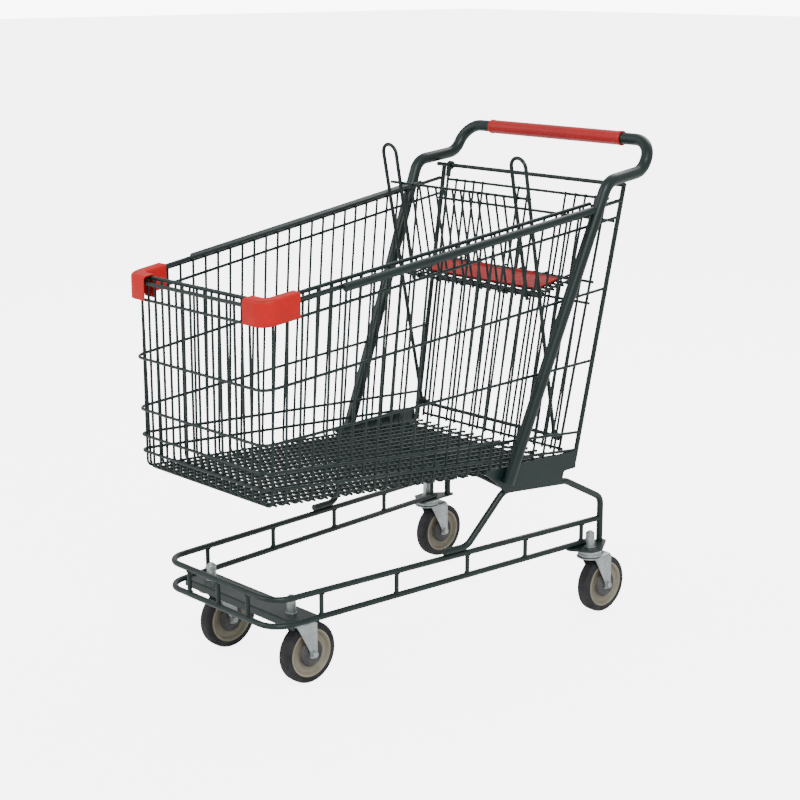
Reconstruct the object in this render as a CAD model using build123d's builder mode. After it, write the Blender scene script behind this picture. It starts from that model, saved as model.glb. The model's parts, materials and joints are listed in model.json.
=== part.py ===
"""Nesting shopping trolley: wire basket on a round-bar chassis with four swivel castors.

Frame: millimetres, +X towards the front, +Y to the trolley's left, +Z up. The origin is on the floor,
under the middle of the trolley. The trolley mirrors in the XZ plane.
"""

from build123d import *
from math import atan, cos, degrees, radians, sin, sqrt
import os

# ---------------------------------------------------------------- driving dimensions
# Basket: the half-width follows the hoops' centreline and grows towards the rear and the top.
front_x = 490.0
front_half_width = 209.0
side_splay = 0.063
side_lean = 0.03
rim_front_z = 777.0
rim_rise = 0.138
floor_front_z = 404.0
floor_fall = 0.066
hoop_front_z = [740.0, 622.0, 519.0, 467.0, 435.0]
hoop_rise = [0.137, 0.108, 0.055, -0.067, -0.075]
hoop_radius = 3.0
wire_radius = 2.5
rim_radius = 4.0
rim_stagger = 4.0
corner_bend = 26.0
floor_bend = 14.0
front_wire_count = 17
front_wire_pitch = 22.5
floor_fan = 1.22
side_wire_count = 25
side_wire_pitch = 29.5
side_wire_first = 22.0
side_wire_top_x = -321.0
weld = 0.05

# Rear posts and the line that the gate hangs in.
hinge_x = -401.0
hinge_z = 927.0
hinge_rod_radius = 4.5
gate_lean = 10.5
post_radius = 5.0
post_gap = 0.5
post_inset = 4.0

# Handle tube.
tube_radius = 12.5
tube_wall = 1.5
foot_x = -95.0
foot_z = 343.0
shoulder_x = -341.0
shoulder_z = 939.0
neck_x = -455.0
neck_z = 952.0
bar_x = -489.2
bar_z = 1011.0
shoulder_bend = 38.0
neck_bend = 42.0
bar_bend = 46.0
neck_inset = 5.0
bar_inset = 8.0
sleeve_half_length = 193.0
sleeve_wall = 2.4
sleeve_gap = 0.1
sleeve_lip = 7.0
side_tube_radius = 8.5
side_tube_start_x = 322.0

# Chassis.
rail_radius = 6.0
rail_front_x = 454.0
rail_half_width = 173.5
rail_splay = 0.0744
rail_bend = 48.0
upper_rail_z = 203.5
lower_rail_front_z = 150.0
lower_rail_rear_z = 158.0
lower_rail_end_x = -357.0
rail_post_radius = 4.5
rail_post_x = [344.0, 161.0, -22.0, -181.0, -343.0]
front_post_y = [-94.0, 0.0, 94.0]
leg_radius = 7.0
leg_rear_x = -398.0
leg_foot_x = [40.0, -20.0]
leg_crest_x = [-107.0, -282.0]
leg_crest_z = [322.0, 310.0]
leg_drop_z = 250.0
brace_radius = 5.0
brace_x = -72.0
plate_thickness = 4.0
plate_under_hoop = 0.7

# Castors.
wheel_radius = 62.5
tyre_width = 30.0
tyre_depth = 13.5
castor_trail = 38.0
castor_height = 148.0
front_castor = (375.0, 128.0)
rear_castor = (-348.0, 254.0)
fork_gap = 4.0
fork_sheet = 2.5
fork_front = 43.0
fork_rear = 9.0
fork_toe = 8.5
axle_radius = 4.0
bush_radius = 10.0
race_radius = 25.0
stem_radius = 6.0
mount_sheet = 4.0
nut_radius = 10.0
nut_height = 34.0
channel_half_width = 33.0
channel_depth = 12.0

# Gate and child seat.
gate_side_gap = 33.6
gate_length = 571.0
gate_taper = 0.115
gate_wire_pitch = 28.0
gate_top_drop = 32.0
stop_drop = 76.0
stop_side_gap = 9.1
lower_rod_drop = 540.0
lower_rod_radius = 4.0
leg_opening = 110.0
seat_back_lean = 10.8
seat_height = 312.0
ear_height = 606.0
ear_radius = 4.0
ear_half_gap = 20.0
ear_side_gap = 19.4
seat_back_top = 520.0
seat_back_pitch = 25.0
seat_slope = 10.5
seat_pitch = 15.0
seat_wire_count = 7
tine_length = 137.0
tine_y = [25.0, 100.0]
tine_side_gap = 8.0
flap_depth = 72.0
flap_side_gap = 19.0
seat_side_gap = 7.0
flap_sheet = 3.0
flap_wire_radius = 2.0
flap_barrel_y = 62.0
flap_barrel_length = 56.0
running = 0.08
free_gap = 0.3

# ---------------------------------------------------------------- shared geometry


def hoop_y(x, z):
    """Half-width of the basket at a hoop's centreline."""
    return front_half_width + side_splay * (front_x - x) - side_lean * (rim_front_z - z)


def wall_y(x, z):
    """Half-width at the centreline of the side wires, which stand inside the hoops."""
    return hoop_y(x, z) - hoop_radius - wire_radius + weld


def rim_z(x):
    """Height of the rim."""
    return rim_front_z + rim_rise * (front_x - x)


def floor_z(x):
    """Height of the lengthwise floor wires."""
    return floor_front_z - floor_fall * (front_x - x)


def rail_y(x):
    """Half-width of the chassis rails."""
    return rail_half_width + rail_splay * (rail_front_x - x)


def lower_rail_z(x):
    """Height of the lower rail, which rises a little towards the rear castors."""
    share = (rail_front_x - x) / (rail_front_x - lower_rail_end_x)
    return lower_rail_front_z + share * (lower_rail_rear_z - lower_rail_front_z)


gate_down = (sin(radians(gate_lean)), -cos(radians(gate_lean)))
gate_out = (cos(radians(gate_lean)), sin(radians(gate_lean)))


def gate_point(drop, out, y=0.0):
    """A point of the gate, by its drop below the hinge rod and its distance in front of it."""
    x = hinge_x + drop * gate_down[0] + out * gate_out[0]
    z = hinge_z + drop * gate_down[1] + out * gate_out[1]
    return (x, y, z)


def gate_spread(drop):
    """How far the gate has tapered at a drop."""
    return 1.0 - gate_taper * drop / gate_length


def bar(points, radius, bend=0.0, bore=0.0):
    """A round bar or tube along straight runs with round bends."""
    with BuildPart() as piece:
        with BuildLine() as path:
            if len(points) > 2:
                FilletPolyline(*points, radius=bend)
            else:
                Line(*points)
        with BuildSketch(Plane(origin=path.line @ 0, z_dir=path.line % 0)):
            Circle(radius)
            if bore:
                Circle(bore, mode=Mode.SUBTRACT)
        sweep()
    return piece.part


def mirrored(points):
    """The same points on the trolley's other side."""
    return [(x, -y, z) for x, y, z in points]


def save(name, piece):
    """Labels one piece and writes it."""
    piece.label = name
    export_step(piece, f"parts/{name}.step")


def save_group(name, pieces):
    """Writes separate pieces that share one node."""
    save(name, Compound(children=list(pieces)))


os.makedirs("parts", exist_ok=True)

# ---------------------------------------------------------------- basket
front_wire_x = front_x - hoop_radius - wire_radius + weld
post_out = -(hinge_rod_radius + post_radius)
cross_out = post_out + post_radius + post_gap + hoop_radius


def post_point(z):
    """A point on the left rear post's centreline."""
    drop = (hinge_z - z + post_out * gate_out[1]) / -gate_down[1]
    x = hinge_x + drop * gate_down[0] + post_out * gate_out[0]
    return (x, hoop_y(x, z) - post_inset, z)


post_foot_z = floor_z(hinge_x) + 4.0
post_head_z = hinge_z + 2.0
butt = post_radius / cos(radians(gate_lean)) - 0.2
left_post = [post_point(post_foot_z), post_point(post_head_z)]
save_group(
    "rear_posts",
    [bar(left_post, post_radius), bar(mirrored(left_post), post_radius)],
)


def post_meeting(height_at):
    """Where a lengthwise bar butts against the front of the rear post."""
    x = hinge_x
    for _ in range(4):
        x = post_point(height_at(x))[0] + butt
    return x


hung_half_width = hoop_y(hinge_x, hinge_z)
gate_half_width = hung_half_width - gate_side_gap
stop_half_width = hung_half_width - stop_side_gap
ear_centre = gate_half_width * gate_spread(lower_rod_drop) - ear_side_gap
seat_side_y = ear_centre - seat_side_gap
flap_half_width = seat_side_y - flap_side_gap


def surround(height_at, outset, rear_x, radius, bend):
    """A bar that runs round the sides and the front of the basket, open at the rear."""
    nose_x = front_x + outset
    rear_z = height_at(rear_x)
    nose_z = height_at(nose_x)
    left = [
        (rear_x, hoop_y(rear_x, rear_z) + outset, rear_z),
        (nose_x, hoop_y(nose_x, nose_z) + outset, nose_z),
    ]
    return bar(left + mirrored(left)[::-1], radius, bend)


hoops = []
for nose_z, rise in zip(hoop_front_z, hoop_rise):
    def hoop_z(x, nose_z=nose_z, rise=rise):
        """Height of this hoop."""
        return nose_z + rise * (front_x - x)

    hoops.append(surround(hoop_z, 0.0, post_meeting(hoop_z), hoop_radius, corner_bend))
save_group("basket_hoops", hoops)

rim_outset = rim_radius - hoop_radius
inner_rim_outset = -hoop_radius - 2 * wire_radius - rim_radius + 2 * weld


def outer_rim_z(x):
    """Height of the rim's outer rod."""
    return rim_z(x) - rim_stagger


rim_outer_rod = surround(outer_rim_z, rim_outset, post_meeting(outer_rim_z), rim_radius, corner_bend)
save("rim_outer_rod", rim_outer_rod)
inner_bend = corner_bend - rim_outset + inner_rim_outset
inner_end_x = side_wire_top_x - 1.5
rim_inner_rod = surround(lambda x: rim_z(x) + rim_stagger, inner_rim_outset, inner_end_x, rim_radius, inner_bend)
save("rim_inner_rod", rim_inner_rod)

floor_rear_x = hinge_x + gate_length * gate_down[0] - 4.0
front_wires = []
for number in range(front_wire_count):
    y = (number - (front_wire_count - 1) / 2) * front_wire_pitch
    front_wires.append(
        bar(
            [
                (front_wire_x, y, rim_front_z + rim_stagger),
                (front_wire_x, y, floor_z(front_wire_x)),
                (floor_rear_x, y * floor_fan, floor_z(floor_rear_x)),
            ],
            wire_radius,
            floor_bend,
        )
    )
save_group("front_and_floor_wires", front_wires)

# The side wires stand upright at the front and lean back more and more towards the rear.
side_wires = []
floor_cross_wires = []
under = 2 * wire_radius - weld
top_pitch = (front_x - side_wire_first - side_wire_top_x) / (side_wire_count - 1)
for number in range(side_wire_count):
    low_x = front_x - side_wire_first - number * side_wire_pitch
    high_x = front_x - side_wire_first - number * top_pitch
    low_z = floor_z(low_x) - under
    high_z = rim_z(high_x) + rim_stagger
    left = [(high_x, wall_y(high_x, high_z), high_z), (low_x, wall_y(low_x, low_z), low_z)]
    side_wires.append(bar(left + mirrored(left)[::-1], wire_radius, floor_bend))
save_group("side_and_floor_wires", side_wires)

between_x = front_x - side_wire_first - side_wire_pitch / 2
while between_x > floor_rear_x + wire_radius:
    fan = 1.0 + (floor_fan - 1.0) * (front_x - between_x) / (front_x - floor_rear_x)
    reach = fan * front_wire_pitch * (front_wire_count - 1) / 2 + 2 * wire_radius
    between_z = floor_z(between_x) - under
    floor_cross_wires.append(bar([(between_x, reach, between_z), (between_x, -reach, between_z)], wire_radius))
    between_x -= side_wire_pitch
save_group("floor_cross_wires", floor_cross_wires)

# ---------------------------------------------------------------- handle and its side tubes


plate_top_z = hoop_front_z[-1] + hoop_rise[-1] * (front_x - floor_rear_x) - plate_under_hoop


def plate_y(x):
    """Inner face of a base plate, just outside the side wires."""
    return hoop_y(x, plate_top_z)


rim_face = rim_outset + rim_radius
shoulder_y = hoop_y(shoulder_x + 20.0, rim_z(shoulder_x)) + rim_face + tube_radius
foot_y = plate_y(foot_x) + plate_thickness + tube_radius
handle_run = [
    (foot_x, foot_y, foot_z),
    (shoulder_x, shoulder_y, shoulder_z),
    (neck_x, shoulder_y - neck_inset, neck_z),
    (bar_x, shoulder_y - bar_inset, bar_z),
]
handle_tube = bar(
    handle_run + mirrored(handle_run)[::-1],
    tube_radius,
    [shoulder_bend, neck_bend, bar_bend, bar_bend, neck_bend, shoulder_bend],
    tube_radius - tube_wall,
)
save("handle_tube", handle_tube)

with BuildPart() as handle_sleeve:
    with BuildSketch(Plane.XZ.offset(-sleeve_half_length)):
        with Locations((bar_x, bar_z)):
            Circle(tube_radius + sleeve_gap + sleeve_wall)
            Circle(tube_radius + sleeve_gap, mode=Mode.SUBTRACT)
    extrude(amount=2 * sleeve_half_length)
    for end in (-sleeve_half_length, sleeve_half_length - sleeve_lip):
        with BuildSketch(Plane.XZ.offset(end)):
            with Locations((bar_x, bar_z)):
                Circle(tube_radius + sleeve_gap + sleeve_wall + 0.8)
                Circle(tube_radius + sleeve_gap, mode=Mode.SUBTRACT)
        extrude(amount=sleeve_lip)
save("handle_sleeve", handle_sleeve.part)


def upright_at(z):
    """A point on the left upright's centreline."""
    share = (z - foot_z) / (shoulder_z - foot_z)
    return (foot_x + share * (shoulder_x - foot_x), foot_y + share * (shoulder_y - foot_y), z)


side_tube_out = rim_face + side_tube_radius
side_tube_end_z = rim_z(shoulder_x + 45.0) - rim_stagger
upright_tilt = atan((foot_x - shoulder_x) / (shoulder_z - foot_z))
end_x = upright_at(side_tube_end_z)[0] + (tube_radius - 1.0) / cos(upright_tilt)
side_tube_line = [
    (x, hoop_y(x, rim_z(x)) + side_tube_out, rim_z(x) - rim_stagger) for x in (side_tube_start_x, end_x)
]
save_group(
    "side_tubes",
    [bar(side_tube_line, side_tube_radius), bar(mirrored(side_tube_line), side_tube_radius)],
)

# The hinge rod spans between the tubes, a little under their centreline.
hinge_share = (shoulder_x - hinge_x) / (shoulder_x - neck_x)
tube_mid_z = shoulder_z + hinge_share * (neck_z - shoulder_z)
tube_mid_y = shoulder_y - hinge_share * neck_inset
rod_end_y = tube_mid_y - sqrt(max(tube_radius**2 - (tube_mid_z - hinge_z) ** 2, 4.0)) + 1.0
save("gate_hinge_rod", bar([(hinge_x, rod_end_y, hinge_z), (hinge_x, -rod_end_y, hinge_z)], hinge_rod_radius))

# ---------------------------------------------------------------- corner bumpers
bumper_wall = 2.6
bumper_low = 36.0
bumper_high = 11.6
bumper_front_leg = 50.0
bumper_side_leg = 68.0
cavity = rim_outset + rim_radius - inner_rim_outset + rim_radius + 2.0
rim_slope = degrees(atan(rim_rise))


def bumper(side):
    """A moulded cap over one front corner of the rim, open underneath."""
    middle = (rim_outset + rim_radius + inner_rim_outset - rim_radius) / 2
    nose_x = front_x + middle
    nose_y = front_half_width + middle
    rear_x = nose_x - bumper_side_leg
    rear_y = nose_y + side_splay * bumper_side_leg
    deck = Plane(
        origin=(nose_x, 0, rim_front_z - bumper_low),
        x_dir=(cos(radians(rim_slope)), 0, -sin(radians(rim_slope))),
        z_dir=(sin(radians(rim_slope)), 0, cos(radians(rim_slope))),
    )
    points = [
        (0, side * (nose_y - bumper_front_leg)),
        (0, side * nose_y),
        (rear_x - nose_x, side * rear_y),
    ]
    inset = [
        (points[0][0], points[0][1] - side * 4.0),
        points[1],
        (points[2][0] - 4.0, points[2][1] + side * side_splay * 4.0),
    ]
    with BuildPart() as piece:
        with BuildSketch(deck):
            with BuildLine():
                FilletPolyline(*points, radius=20.0)
            trace(line_width=cavity + 2 * bumper_wall)
        extrude(amount=bumper_low + bumper_high, dir=(0, 0, 1))
        top = piece.faces().sort_by(Axis.Z)[-1]
        fillet(top.edges(), 2.0)
        with BuildSketch(deck):
            with BuildLine():
                FilletPolyline(*inset, radius=20.0)
            trace(line_width=cavity)
        extrude(amount=bumper_low + bumper_high - bumper_wall, dir=(0, 0, 1), mode=Mode.SUBTRACT)
    return piece.part


save("bumper_left", bumper(1))
save("bumper_right", bumper(-1))

# ---------------------------------------------------------------- chassis


def rail(height_at, end_x):
    """A bar round the front of the chassis, open at the rear."""
    left = [(x, rail_y(x), height_at(x)) for x in (end_x, rail_front_x)]
    return bar(left + mirrored(left)[::-1], rail_radius, rail_bend)


save("upper_rail", rail(lambda x: upper_rail_z, leg_rear_x + leg_radius - 1.0))
save("lower_rail", rail(lower_rail_z, lower_rail_end_x))

rail_posts = []
for x in rail_post_x:
    low = lower_rail_z(x) + rail_radius - 0.5
    high = upper_rail_z - rail_radius + 0.5
    left = [(x, rail_y(x), low), (x, rail_y(x), high)]
    rail_posts += [bar(left, rail_post_radius), bar(mirrored(left), rail_post_radius)]
for y in front_post_y:
    low = lower_rail_front_z + rail_radius - 0.5
    high = upper_rail_z - rail_radius + 0.5
    rail_posts.append(bar([(rail_front_x, y, low), (rail_front_x, y, high)], rail_post_radius))
save_group("rail_posts", rail_posts)


def leg_y(x):
    """A rear leg's bar lies against the inner face of the base plate."""
    return plate_y(x) - leg_radius


rest_z = upper_rail_z + rail_radius + leg_radius - weld
left_leg = [
    (leg_foot_x[0], rail_y(leg_foot_x[0]), rest_z),
    (leg_foot_x[1], rail_y(leg_foot_x[1]), rest_z),
    (leg_crest_x[0], leg_y(leg_crest_x[0]), leg_crest_z[0]),
    (leg_crest_x[1], leg_y(leg_crest_x[1]), leg_crest_z[1]),
    (leg_rear_x, rail_y(leg_rear_x), leg_drop_z),
    (leg_rear_x, rail_y(leg_rear_x), castor_height + mount_sheet),
]
leg_bends = [30.0, 30.0, 34.0, 26.0]
save_group(
    "rear_legs",
    [bar(left_leg, leg_radius, leg_bends), bar(mirrored(left_leg), leg_radius, leg_bends)],
)

brace_top_z = floor_z(brace_x) - under - wire_radius - brace_radius
brace_foot_x = leg_crest_x[0] - 12.0
brace_run = [
    (brace_foot_x, leg_y(brace_foot_x) - leg_radius + 1.0, leg_crest_z[0]),
    (brace_x, leg_y(brace_x) - 40.0, brace_top_z),
]
save("cross_brace", bar(brace_run + mirrored(brace_run)[::-1], brace_radius, 38.0))


def base_plate(side):
    """The sheet that carries the basket, the upright and a rear leg on one side."""
    rear_x = post_point(plate_top_z)[0] + post_radius + 3.0
    nose_x = foot_x + 58.0
    outline = [
        (nose_x, plate_top_z),
        (rear_x, plate_top_z),
        (rear_x, 338.0),
        (rear_x + 34.0, 336.0),
        (rear_x + 40.0, 312.0),
        (foot_x - 52.0, 316.0),
        (foot_x - 8.0, 318.0),
        (foot_x + 20.0, 346.0),
    ]
    turn = degrees(atan(side_splay))
    with BuildPart() as piece:
        with BuildSketch(Plane.XZ):
            Polygon(*outline, align=None)
        extrude(amount=-side * plate_thickness)
        fillet(piece.edges().filter_by(Axis.Y), 5.0)
    hung = piece.part.rotate(Axis.Z, -side * turn)
    anchor = hung.bounding_box()
    inner = plate_y(rear_x)
    if side > 0:
        return hung.moved(Location((rear_x - anchor.min.X, inner + plate_thickness - anchor.max.Y, 0)))
    return hung.moved(Location((rear_x - anchor.min.X, -inner - plate_thickness - anchor.min.Y, 0)))


save("base_plate_left", base_plate(1))
save("base_plate_right", base_plate(-1))

with BuildPart() as front_castor_channel:
    half_span = rail_y(front_castor[0]) - rail_radius
    with BuildSketch(Plane.XY.offset(castor_height)):
        with Locations((front_castor[0], 0)):
            Rectangle(2 * channel_half_width, 2 * half_span)
    extrude(amount=mount_sheet)
    for flange_x in (-channel_half_width + mount_sheet / 2, channel_half_width - mount_sheet / 2):
        with BuildSketch(Plane.XY.offset(castor_height + mount_sheet)):
            with Locations((front_castor[0] + flange_x, 0)):
                Rectangle(mount_sheet, 2 * half_span)
        extrude(amount=-mount_sheet - channel_depth)
    fillet(front_castor_channel.faces().sort_by(Axis.Z)[-1].edges().filter_by(Axis.Y), 3.0)
    with Locations(
        (front_castor[0], front_castor[1], castor_height + mount_sheet),
        (front_castor[0], -front_castor[1], castor_height + mount_sheet),
    ):
        Hole(stem_radius + running, depth=mount_sheet)
save("front_castor_channel", front_castor_channel.part)


def rear_castor_plate(side):
    """The plate that joins a rear castor to the lower rail and the leg."""
    stem_x = rear_castor[0]
    stem_y = side * rear_castor[1]
    plate_nose_x = stem_x + 46.0
    with BuildPart() as piece:
        with BuildSketch(Plane.XY.offset(castor_height)):
            with BuildLine():
                ears = [
                    (plate_nose_x, side * (rail_y(plate_nose_x) - 6.0)),
                    (plate_nose_x, side * (rail_y(plate_nose_x) + 7.0)),
                    (stem_x + 18.0, stem_y + side * 24.0),
                    (stem_x - 12.0, stem_y + side * 26.0),
                    (leg_rear_x - 14.0, side * (rail_y(leg_rear_x) + 8.0)),
                    (leg_rear_x - 14.0, side * (rail_y(leg_rear_x) - 9.0)),
                    (stem_x - 8.0, stem_y - side * 28.0),
                ]
                Polyline(*ears, close=True)
            make_face()
        extrude(amount=mount_sheet)
        fillet(piece.edges().filter_by(Axis.Z), 6.0)
        with Locations((stem_x, stem_y, castor_height + mount_sheet)):
            Hole(stem_radius + running, depth=mount_sheet)
    return piece.part


save_group("rear_castor_plates", [rear_castor_plate(1), rear_castor_plate(-1)])

# ---------------------------------------------------------------- castors
castors = {
    "front_left": (front_castor[0], front_castor[1]),
    "front_right": (front_castor[0], -front_castor[1]),
    "rear_left": (rear_castor[0], rear_castor[1]),
    "rear_right": (rear_castor[0], -rear_castor[1]),
}
crown_z = 2 * wheel_radius + 5.5
crown_top = crown_z + fork_sheet
race_top = castor_height
ball_radius = 2.0
ball_circle = 19.0
groove_radius = ball_radius + running
race_floor = crown_top + free_gap
ball_z = race_floor + 1.0
fork_half = tyre_width / 2 + fork_gap
bolt_head_radius = 10.5

king_bolts = []
races = []
balls = []
for place_x, place_y in castors.values():
    with BuildPart(Plane((place_x, place_y, 0))) as king_bolt:
        with BuildSketch(Plane((place_x, place_y, crown_z - 3.5))):
            Circle(bolt_head_radius)
        extrude(amount=3.2)
        with BuildSketch(Plane((place_x, place_y, crown_z - 0.3))):
            Circle(stem_radius)
        extrude(amount=castor_height + mount_sheet + nut_height + 2.0 - crown_z + 0.3)
    king_bolts.append(king_bolt.part)
    with BuildPart() as nut:
        with BuildSketch(Plane((place_x, place_y, castor_height + mount_sheet))):
            Circle(nut_radius)
            Circle(stem_radius + weld, mode=Mode.SUBTRACT)
        extrude(amount=nut_height)
        fillet(nut.faces().sort_by(Axis.Z)[-1].edges().sort_by(SortBy.LENGTH)[-1], 1.5)
    king_bolts.append(nut.part)
    with BuildPart() as race:
        with BuildSketch(Plane((place_x, place_y, race_floor))):
            Circle(race_radius)
            Circle(stem_radius + running, mode=Mode.SUBTRACT)
        extrude(amount=race_top - race_floor)
        fillet(race.faces().sort_by(Axis.Z)[0].edges().sort_by(SortBy.LENGTH)[-1], 2.0)
        with BuildSketch(Plane(origin=(place_x, place_y, ball_z), x_dir=(1, 0, 0), z_dir=(0, -1, 0))):
            with Locations((ball_circle, 0)):
                Circle(groove_radius)
        revolve(axis=Axis((place_x, place_y, 0), (0, 0, 1)), mode=Mode.SUBTRACT)
    races.append(race.part)
    with BuildPart() as ball_ring:
        with Locations(Plane((place_x, place_y, ball_z))):
            with PolarLocations(ball_circle, 12):
                Sphere(ball_radius)
    balls += list(ball_ring.part.solids())
save_group("castor_king_bolts", king_bolts)
save_group("castor_races", races)
save_group("castor_balls", balls)


def fork(place_x, place_y):
    """A pressed fork: a round crown, with two legs that taper to the axle."""
    axle_x = place_x - castor_trail
    with BuildPart() as piece:
        with BuildSketch(Plane((0, 0, crown_z))):
            with Locations((place_x, place_y)):
                Circle(race_radius + 3.0)
            with Locations((axle_x + (fork_front - fork_rear) / 2, place_y)):
                Rectangle(fork_front + fork_rear, 2 * (fork_half + fork_sheet))
        extrude(amount=fork_sheet)
        for inner in (fork_half, -fork_half - fork_sheet):
            with BuildSketch(Plane.XZ.offset(-place_y - inner)):
                with BuildLine():
                    Line((axle_x - fork_rear, wheel_radius), (axle_x - fork_rear, crown_z))
                    Line((axle_x - fork_rear, crown_z), (axle_x + fork_front, crown_z))
                    Spline(
                        (axle_x + fork_front, crown_z),
                        (axle_x + fork_toe + 0.7 * (fork_front - fork_toe), crown_z - 20.0),
                        (axle_x + fork_toe, wheel_radius + 4.0),
                        tangents=[(-0.5, -1), (-0.45, -1)],
                    )
                    ThreePointArc(
                        (axle_x + fork_toe, wheel_radius + 4.0),
                        (axle_x, wheel_radius - fork_toe - 0.5),
                        (axle_x - fork_rear, wheel_radius),
                    )
                make_face()
            extrude(amount=-fork_sheet)
        with BuildSketch(Plane.XZ.offset(-place_y - fork_half - fork_sheet)):
            with Locations((axle_x, wheel_radius)):
                Circle(axle_radius + 0.1)
        extrude(amount=2 * (fork_half + fork_sheet), mode=Mode.SUBTRACT)
        with BuildSketch(Plane((place_x, place_y, crown_z))):
            Circle(stem_radius + 0.1)
        extrude(amount=fork_sheet, mode=Mode.SUBTRACT)
        groove = Plane(origin=(place_x, place_y, ball_z), x_dir=(1, 0, 0), z_dir=(0, -1, 0))
        with BuildSketch(groove):
            with Locations((ball_circle, 0)):
                Circle(groove_radius)
        revolve(axis=Axis((place_x, place_y, 0), (0, 0, 1)), mode=Mode.SUBTRACT)
    return piece.part


def turned(place_x, place_y, profile, softened=0.0):
    """A solid turned about the wheel's axle from points of (offset along the axle, radius)."""
    plane = Plane(origin=(place_x - castor_trail, place_y, wheel_radius), x_dir=(0, 1, 0), z_dir=(1, 0, 0))
    with BuildPart() as piece:
        with BuildSketch(plane):
            Polygon(*profile, align=None)
        revolve(axis=Axis(plane.origin, (0, 1, 0)))
        if softened:
            fillet(piece.edges().group_by(SortBy.LENGTH)[-1], softened)
    return piece.part


half_tyre = tyre_width / 2
centre_radius = wheel_radius - tyre_depth
hub_radius = 15.0
for name, (place_x, place_y) in castors.items():
    save(f"{name}_fork", fork(place_x, place_y))
    bolt = turned(
        place_x,
        place_y,
        [
            (-fork_half - fork_sheet - 9.0, 0),
            (-fork_half - fork_sheet - 9.0, axle_radius),
            (fork_half + fork_sheet, axle_radius),
            (fork_half + fork_sheet, 6.6),
            (fork_half + fork_sheet + 4.5, 5.6),
            (fork_half + fork_sheet + 4.5, 0),
        ],
    )
    nut_face = -place_y + fork_half + fork_sheet
    with BuildPart() as axle_nut:
        with BuildSketch(Plane.XZ.offset(nut_face)):
            with Locations((place_x - castor_trail, wheel_radius)):
                RegularPolygon(7.0, 6)
                Circle(axle_radius + weld, mode=Mode.SUBTRACT)
        extrude(amount=6.5)
    save_group(f"{name}_axle_bolt", [bolt, axle_nut.part])
    save(
        f"{name}_tyre",
        turned(
            place_x,
            place_y,
            [
                (-half_tyre, centre_radius),
                (-half_tyre, wheel_radius - 7.0),
                (-half_tyre + 3.5, wheel_radius - 1.6),
                (-5.0, wheel_radius),
                (5.0, wheel_radius),
                (half_tyre - 3.5, wheel_radius - 1.6),
                (half_tyre, wheel_radius - 7.0),
                (half_tyre, centre_radius),
            ],
        ),
    )
    save(
        f"{name}_wheel_centre",
        turned(
            place_x,
            place_y,
            [
                (-half_tyre + 1.0, centre_radius),
                (-half_tyre + 1.0, centre_radius - 4.0),
                (-6.0, centre_radius - 9.0),
                (-5.0, hub_radius + 2.0),
                (-half_tyre, hub_radius),
                (-half_tyre, bush_radius),
                (half_tyre, bush_radius),
                (half_tyre, hub_radius),
                (5.0, hub_radius + 2.0),
                (6.0, centre_radius - 9.0),
                (half_tyre - 1.0, centre_radius - 4.0),
                (half_tyre - 1.0, centre_radius),
            ],
        ),
    )
    save(
        f"{name}_wheel_bush",
        turned(
            place_x,
            place_y,
            [
                (-half_tyre - 3.0, axle_radius + running),
                (-half_tyre - 3.0, bush_radius),
                (half_tyre + 3.0, bush_radius),
                (half_tyre + 3.0, axle_radius + running),
            ],
        ),
    )
    guards = []
    for side in (-1, 1):
        guards.append(
            turned(
                place_x,
                place_y,
                [
                    (side * half_tyre, bush_radius),
                    (side * (half_tyre + 2.0), bush_radius),
                    (side * (half_tyre + 1.6), hub_radius + 9.0),
                    (side * (half_tyre - 2.4), hub_radius + 12.0),
                    (side * (half_tyre - 2.4), hub_radius + 10.0),
                    (side * half_tyre, hub_radius + 7.0),
                ],
            )
        )
    save_group(f"{name}_thread_guards", guards)

# ---------------------------------------------------------------- gate
vertical_out = cross_out + hoop_radius + wire_radius - weld
hanger_out = cross_out + 2 * hoop_radius - weld
lower_rod_out = vertical_out + wire_radius + lower_rod_radius - weld
knuckle_radius = hinge_rod_radius + 5.0
knuckle_width = 8.0
knuckle_drop = 26.0
hanger_foot = gate_half_width * gate_spread(gate_length)


def gate_plane(y):
    """The gate's side view: its first direction is downwards and its second is forwards."""
    return Plane(
        origin=(hinge_x, y, hinge_z),
        x_dir=(gate_down[0], 0, gate_down[1]),
        z_dir=(0, 1, 0),
    )


def knuckle(side):
    """One outer wire of the gate, with the eye that hangs it on the hinge rod."""
    head_y = side * gate_half_width
    plane = gate_plane(head_y - knuckle_width / 2)
    forward = 1.0 if plane.y_dir.X > 0 else -1.0
    with BuildPart() as piece:
        with BuildSketch(plane):
            Circle(knuckle_radius)
            with Locations((knuckle_drop / 2, forward * (hanger_out + hoop_radius) / 2)):
                Rectangle(knuckle_drop, hanger_out + hoop_radius)
            Circle(hinge_rod_radius + running, mode=Mode.SUBTRACT)
        extrude(amount=knuckle_width)
        with BuildLine() as path:
            Line(
                gate_point(knuckle_drop - 4.0, hanger_out, side * gate_half_width * gate_spread(knuckle_drop)),
                gate_point(gate_length, hanger_out, side * hanger_foot),
            )
        with BuildSketch(Plane(origin=path.line @ 0, z_dir=path.line % 0)):
            Circle(hoop_radius)
        sweep()
    return piece.part


save_group("gate_hangers", [knuckle(1), knuckle(-1)])

# The child seat's support is found where its tines cross the gate.
back_up = (sin(radians(seat_back_lean)), cos(radians(seat_back_lean)))
back_out = (cos(radians(seat_back_lean)), -sin(radians(seat_back_lean)))
pivot = gate_point(lower_rod_drop, lower_rod_out)


def back_point(up, out, y=0.0):
    """A point of the seat back, by its height above its pivot and its distance in front."""
    return (pivot[0] + up * back_up[0] + out * back_out[0], y, pivot[2] + up * back_up[1] + out * back_out[1])


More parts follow.
